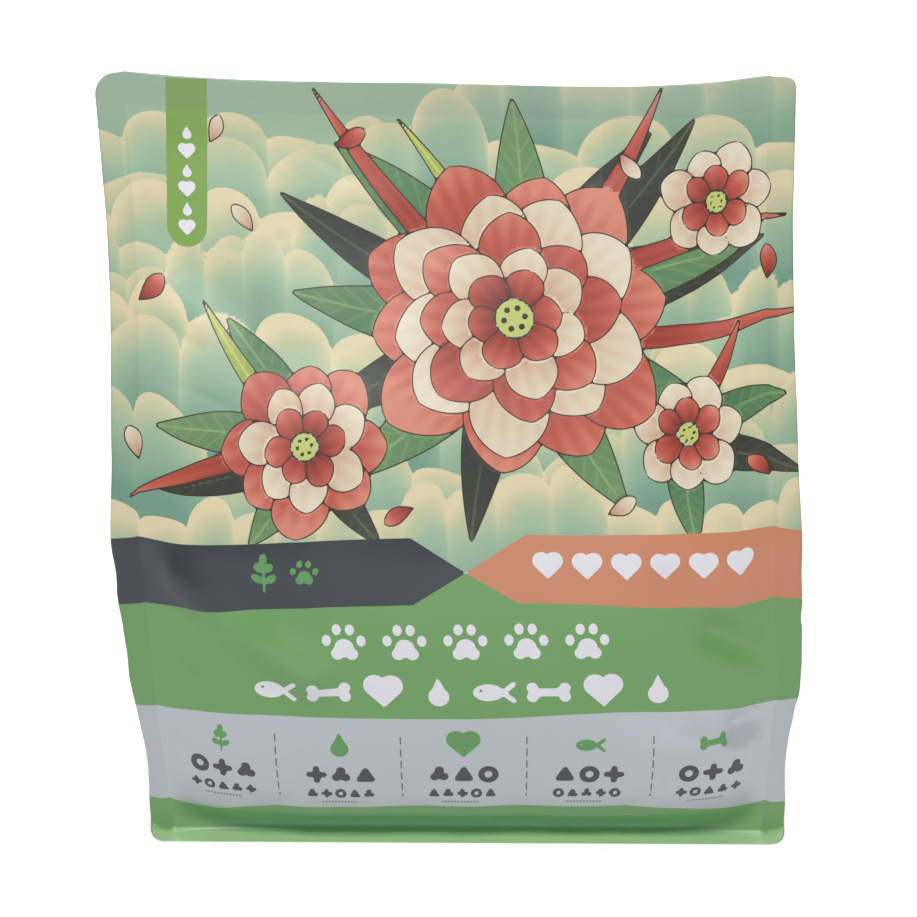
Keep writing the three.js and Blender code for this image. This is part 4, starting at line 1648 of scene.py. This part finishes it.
@dataclass
class Bag:
    """The dressed bag: five webs of film, each a closed shell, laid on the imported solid."""

    form: BagForm = field(default_factory=BagForm)
    artwork: FrontPrint = field(default_factory=FrontPrint)
    front_columns: int = 270
    front_rows: int = 294
    corner_rows: int = 9
    web_ratio: int = 3
    back_columns: int = 240
    back_rows: int = 252
    gusset_rows: int = 198
    gusset_columns: int = 54
    seal_columns: int = 6
    hidden_inset: float = 1.5
    fold_inset: float = 0.6
    closed_inset: float = 0.25
    seal_margin: float = 6.0
    free_foot: float = 22.0
    free_top: float = 240.0
    fold_span: tuple[float, float] = (14.0, 24.0)
    gusset_clearance: float = 0.02
    base_points: int = 121
    base_even: float = 0.35
    base_inset: float = 1.7
    base_clearance: float = 0.72
    base_print_height: float = 11.0
    extent_steps: int = 60

    def __post_init__(self) -> None:
        """Works out both webs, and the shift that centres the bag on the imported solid."""
        self.webs = {side: FilmSurface(self.form, side) for side in Side}
        low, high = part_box(NODE)
        packed = np.array([(low[i] + high[i]) / 2.0 for i in range(2)]) / MM
        own = self._extent()
        self.shift = np.array([packed[0] - own[0], packed[1] - own[1], 0.0])
        LOG.info("bag shifted by %s mm to the packed solid's middle", np.round(self.shift, 2))

    def _extent(self) -> Array:
        """Middle of the bag's own box in x and y: half of its least and greatest.

        Returns:
            The middle's x and y in millimetres, with z.
        """
        steps = self.extent_steps
        u, v = self._web_grid(steps, steps)
        clouds = [web.points(u, v).reshape(-1, 3) for web in self.webs.values()]
        clouds += [self._gusset_points(hand, steps)[0].reshape(-1, 3) for hand in Hand]
        whole = np.concatenate(clouds)
        return (whole.min(0) + whole.max(0)) / 2.0

    def _web_grid(self, columns: int, rows: int) -> tuple[Array, Array]:
        """Film coordinates of a web's points: rows bunch as r(1 - cos) round the corners.

        Args:
            columns: steps across the film.
            rows: steps up the film between the corners.

        Returns:
            The places across and up, one row of points for each step.
        """
        form = self.form
        turn = np.linspace(0.0, math.pi / 2.0, self.corner_rows + 1)
        low = form.bottom_radius * (1.0 - np.cos(turn))
        high = form.film_height - form.top_left_radius * (1.0 - np.cos(turn[::-1]))
        body = np.linspace(low[-1], high[0], rows + 1)
        up = np.concatenate([low[:-1], body, high[1:]])
        share = np.linspace(-1.0, 1.0, columns + 1)
        v = np.repeat(up[:, None], columns + 1, 1)
        left, right = form.outline_half(v, Hand.LEFT), form.outline_half(v, Hand.RIGHT)
        return share[None, :] * np.where(share[None, :] < 0.0, left, right), v

    def _web(self, side: Side, name: str, columns: int, rows: int) -> tuple[Sheet, Array, Array]:
        """One web as a closed shell, and the film coordinates of its outer points.

        Its inner face lies deeper where the film is free and round the fold at the foot, since it
        can't be seen there, and a little deeper in the top seal, where both webs are pressed together.

        Args:
            side: which web.
            name: the piece's name.
            columns: steps across the film.
            rows: steps up the film.

        Returns:
            The sheet, and its outer points' places across and up the film.
        """
        form, ratio = self.form, self.web_ratio
        u, v = self._web_grid(columns, rows)
        inner_u, inner_v = u[::ratio, ::ratio], v[::ratio, ::ratio]
        free = smooth_step(form.panel_half - np.abs(inner_u), 0.0, self.seal_margin)
        free = free * smooth_step(inner_v, form.bottom_seal, self.free_foot)
        free = free * (1.0 - smooth_step(inner_v, self.free_top, form.seal_line - self.seal_margin))
        fold = 1.0 - smooth_step(inner_v, *self.fold_span)
        closed = smooth_step(inner_v, form.seal_line - form.recess_end, form.seal_line)
        deeper = np.maximum(free * self.hidden_inset, fold * self.fold_inset)
        inset = form.film_thickness + deeper + closed * self.closed_inset
        web = self.webs[side]
        outer, inner = web.points(u, v) + self.shift, web.points(inner_u, inner_v, inset) + self.shift
        sheet = Sheet(name, outer, inner, np.stack([u, v], -1), ratio, turned=side is Side.BACK)
        return sheet, u, v

    def _gusset_points(self, hand: Hand, rows: int) -> tuple[Array, Array, Array]:
        """One gusset with the seal flaps behind both webs.

        Args:
            hand: which side of the bag.
            rows: steps up the film.

        Returns:
            Its outer points, its inner points and its film coordinates.
        """
        form = self.form
        up = np.linspace(0.0, form.seal_line - form.recess_end, rows + 1)[:, None]
        flap = np.linspace(1.0, 0.0, self.seal_columns + 1)[None, :]
        corner = form.corner(up)
        seal = corner + (form.outline_half(up, hand) - corner) * flap
        v = np.repeat(up, self.seal_columns + 1, 1)
        s = np.linspace(-1.0, 1.0, self.gusset_columns + 1)[None, 1:-1]
        share = (s + 1.0) / 2.0
        out = hand.value * form.gusset_out(s, np.repeat(up, s.size, 1))
        layers = []
        behind = form.film_thickness + self.gusset_clearance
        for inset, nudge in ((form.sealed_thickness, 0.0), (behind, form.film_thickness)):
            front = self.webs[Side.FRONT].points(hand.value * seal, v, inset)
            back = self.webs[Side.BACK].points(hand.value * seal, v, inset)[:, ::-1]
            middle = front[:, -1:] * (1.0 - share[..., None]) + back[:, :1] * share[..., None]
            edge = hand.value * corner
            middle[..., 0] += out - hand.value * nudge
            middle[..., 1] += form.set_back(edge + out, up) - form.set_back(edge, up)
            layers.append(np.concatenate([front, middle, back], 1))
        beyond = form.panel_width / 2.0 + form.gusset_width * share + 0.0 * up
        flat_u = np.concatenate([seal, beyond, seal[:, ::-1]], 1)
        film = np.stack([hand.value * flat_u, np.repeat(up, flat_u.shape[1], 1)], -1)
        return layers[0], layers[1], film

    def _gusset(self, hand: Hand) -> tuple[Sheet, Array, Array]:
        """One gusset as a closed shell, and its film coordinates for the print.

        Args:
            hand: which side of the bag.

        Returns:
            The sheet, and its outer points' places across and up the film.
        """
        outer, inner, film = self._gusset_points(hand, self.gusset_rows)
        name = f"gusset_{hand.name.lower()}"
        limit = UV_SPAN / 2.0 - 1.0
        film_uv = np.stack([np.clip(film[..., 0], -limit, limit), film[..., 1]], -1)
        turned = hand is Hand.LEFT
        sheet = Sheet(name, outer + self.shift, inner + self.shift, film_uv, 1, turned)
        return sheet, film[..., 0], film[..., 1]

    def _base(self) -> tuple[Sheet, Array, Array]:
        """The base web: flat in the middle, up to a groove near its rim and down the bottom seal.

        Its height is the least of the two outer walls, groove * distance/width from the seal's
        edge less a clearance under the outer film, and the greater of the two inner slopes that
        fall from the groove to the flat middle.

        Returns:
            The sheet, and its outer points' places in x and y.
        """
        form, web = self.form, self.webs[Side.FRONT]
        rim = web.points(np.array([0.0, float(form.corner(0.0))]), np.zeros(2), form.film_thickness)
        fold = web.points(np.array([0.0, form.panel_half]), np.full(2, form.bottom_seal))
        half_x, half_y = rim[1, 0] - form.sway(0.0), -rim[0, 1]
        groove_x = half_x - (fold[1, 0] - form.sway(form.bottom_seal)) + form.groove_inset
        groove_y = half_y - form.crease_depth / 2.0 + form.groove_inset
        reach = form.touchdown_inset - form.groove_inset
        even = np.linspace(-1.0, 1.0, self.base_points)
        bunch = np.sin(np.linspace(-math.pi / 2.0, math.pi / 2.0, self.base_points))
        share_x = self.base_even * even + (1.0 - self.base_even) * bunch
        share_y = share_x[::2]
        x, y = np.meshgrid(share_x * (half_x - self.base_inset), share_y * (half_y - self.base_inset))
        far_x, far_y = half_x - np.abs(x), half_y - np.abs(y)
        wall = np.minimum(far_x / groove_x, far_y / groove_y) * form.groove_height
        wall = np.maximum(wall - self.base_clearance, 0.0)
        slope_x = 1.0 - smooth_step(far_x, groove_x, groove_x + reach)
        slope_y = 1.0 - smooth_step(far_y, groove_y, groove_y + reach)
        height = np.minimum(wall, form.groove_height * np.maximum(slope_x, slope_y))
        outer = np.stack([x, y, height], -1) + self.shift
        inner = outer + np.array([0.0, 0.0, form.film_thickness])
        film = np.stack([x * 0.8, np.full_like(x, self.base_print_height)], -1)
        return Sheet("base_web", outer, inner, film, 1, turned=True), x, y

    def _dress(self, sheet: Sheet, painter: Painter, finish: bpy.types.Material) -> None:
        """Makes a piece, gives it its inks and its material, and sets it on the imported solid.

        Args:
            sheet: the piece's shell.
            painter: the inks over its outer points.
            finish: its material.
        """
        piece = sheet.mesh()
        for ink in Ink:
            set_attribute(piece.data, ink.value, painter.fields[ink], sheet.ratio)
        for ink, depth in painter.depths.items():
            set_attribute(piece.data, f"{ink.value}_depth", depth, sheet.ratio)
        set_attribute(piece.data, "along", painter.along, sheet.ratio)
        set_attribute(piece.data, "across", painter.across, sheet.ratio)
        set_attribute(piece.data, "shade", painter.shade, sheet.ratio)
        piece.data.materials.append(finish)
        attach(piece, BODY)
        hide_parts(NODE)
        LOG.info("%s: %d faces", sheet.name, len(piece.data.polygons))

    def build(self) -> None:
        """Builds the five pieces."""
        printed = FilmFinish("printed_front_film", divided=True).material(self.artwork.plan, self.form)
        plain = FilmFinish("printed_wrap_film").material(self.artwork.plan, self.form)
        sheet, u, v = self._web(Side.FRONT, "front_web", self.front_columns, self.front_rows)
        self._dress(sheet, self.artwork.paint(u, v), printed)
        sheet, u, v = self._web(Side.BACK, "back_web", self.back_columns, self.back_rows)
        self._dress(sheet, self.artwork.paint_back(u, v), plain)
        for hand in Hand:
            sheet, u, v = self._gusset(hand)
            self._dress(sheet, self.artwork.paint_plain(u, v), plain)
        sheet, u, v = self._base()
        painter = Painter(u, v)
        painter.lay(np.full(u.shape, -1.0), Ink.GREEN_FIELD)
        self._dress(sheet, painter, plain)


@dataclass(frozen=True)
class Lamp:
    """One soft square lamp: its place and its side in metres, and its power in watts."""

    name: str
    place: tuple[float, float, float]
    size: float
    power: float


@dataclass
class Studio:
    """The pale floor, the soft lights and the camera at the photograph's angle."""

    target: tuple[float, float, float] = (0.0014, 0.0, 0.1306)
    elevation: float = 20.0
    distance: float = 0.62
    roll: float = 0.3
    lens: float = 66.48
    sensor: float = 36.0
    floor_half: float = 4.0
    floor_gap: float = 0.0002
    floor_white: float = 0.82
    floor_glow: float = 0.4
    far_glow: float = 0.56
    glow_span: tuple[float, float] = (0.2, 0.9)
    world_light: float = 0.1
    lamps: tuple[Lamp, ...] = (
        Lamp("key", (-0.2, -1.3, 2.8), 0.7, 59.0),
        Lamp("low", (0.1, -1.9, 0.2), 0.7, 4.0),
        Lamp("top", (0.1, 0.3, 2.4), 1.0, 8.0),
        Lamp("back", (0.4, 1.9, 1.5), 1.2, 22.0),
    )

    def build(self) -> None:
        """Builds everything round the object."""
        self._floor()
        self._world()
        for lamp in self.lamps:
            self._light(lamp)
        self._camera()

    def _floor(self) -> None:
        """A wide white floor that shows the object's shadow; its glow is for camera rays only."""
        data = bpy.data.meshes.new("floor")
        half, low = self.floor_half, -self.floor_gap
        corners = [(-half, -half, low), (half, -half, low), (half, half, low), (-half, half, low)]
        data.from_pydata(corners, [], [(0, 1, 2, 3)])
        floor = bpy.data.objects.new("floor", data)
        bpy.context.scene.collection.objects.link(floor)
        graph = Graph("floor_white")
        shader = graph.node("ShaderNodeBsdfPrincipled")
        shader.inputs["Base Color"].default_value = (*(self.floor_white,) * 3, 1.0)
        shader.inputs["Roughness"].default_value = 1.0
        shader.inputs["Specular IOR Level"].default_value = 0.0
        ray = graph.node("ShaderNodeLightPath")
        seen = graph.math("MAXIMUM", ray.outputs["Is Camera Ray"], ray.outputs["Is Glossy Ray"])
        seen = graph.math("MAXIMUM", seen, ray.outputs["Is Transmission Ray"])
        place = graph.node("ShaderNodeTexCoord").outputs["Object"]
        away = graph.node("ShaderNodeVectorMath", operation="LENGTH")
        graph.feed(away.inputs[0], place)
        far = graph.node("ShaderNodeMapRange", interpolation_type="SMOOTHSTEP")
        graph.feed(far.inputs["Value"], away.outputs["Value"])
        far.inputs["From Min"].default_value = self.glow_span[0]
        far.inputs["From Max"].default_value = self.glow_span[1]
        far.inputs["To Min"].default_value = self.floor_glow
        far.inputs["To Max"].default_value = self.floor_glow + self.far_glow
        shader.inputs["Emission Color"].default_value = (1.0, 1.0, 1.0, 1.0)
        graph.feed(shader.inputs["Emission Strength"], graph.math("MULTIPLY", seen, far.outputs[0]))
        output = graph.node("ShaderNodeOutputMaterial")
        graph.feed(output.inputs["Surface"], shader.outputs[0])
        data.materials.append(graph.material)

    def _world(self) -> None:
        """Soft white light all round, which the camera sees as plain white."""
        world = bpy.data.worlds.new("studio")
        bpy.context.scene.world = world
        world.use_nodes = True
        tree = world.node_tree
        tree.nodes.clear()
        ray = tree.nodes.new("ShaderNodeLightPath")
        background = tree.nodes.new("ShaderNodeBackground")
        background.inputs["Color"].default_value = (1.0, 1.0, 1.0, 1.0)
        level = tree.nodes.new("ShaderNodeMapRange")
        level.inputs["To Min"].default_value = self.world_light
        level.inputs["To Max"].default_value = 1.0
        tree.links.new(ray.outputs["Is Camera Ray"], level.inputs["Value"])
        tree.links.new(level.outputs[0], background.inputs["Strength"])
        output = tree.nodes.new("ShaderNodeOutputWorld")
        tree.links.new(background.outputs[0], output.inputs["Surface"])

    def _light(self, lamp: Lamp) -> None:
        """Sets up a lamp so that it faces the object.

        Args:
            lamp: its name, place, size and power.
        """
        data = bpy.data.lights.new(lamp.name, "AREA")
        data.size = lamp.size
        data.energy = lamp.power
        light = bpy.data.objects.new(lamp.name, data)
        light.location = lamp.place
        facing = Vector(self.target) - Vector(lamp.place)
        light.rotation_euler = facing.to_track_quat("-Z", "Y").to_euler()
        bpy.context.scene.collection.objects.link(light)

    def _camera(self) -> None:
        """The camera: distance * (0, -cos, sin) of the elevation from its target, turned by the roll."""
        data = bpy.data.cameras.new("camera")
        data.lens = self.lens
        data.sensor_width = self.sensor
        data.clip_end = 20.0
        camera = bpy.data.objects.new("camera", data)
        tilt, roll = math.radians(self.elevation), math.radians(self.roll)
        away = Vector((0.0, -math.cos(tilt), math.sin(tilt))) * self.distance
        camera.location = Vector(self.target) + away
        turn = Euler((math.pi / 2.0 - tilt, 0.0, 0.0)).to_quaternion()
        camera.rotation_mode = "QUATERNION"
        camera.rotation_quaternion = turn @ Euler((0.0, 0.0, roll)).to_quaternion()
        bpy.context.scene.collection.objects.link(camera)
        bpy.context.scene.camera = camera


def main() -> None:
    """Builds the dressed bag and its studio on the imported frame."""
    logging.basicConfig(level=logging.INFO, format="%(name)s: %(message)s")
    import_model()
    Bag().build()
    Studio().build()
    bpy.context.scene.view_settings.view_transform = "Standard"


if __name__ == "__main__":
    main()
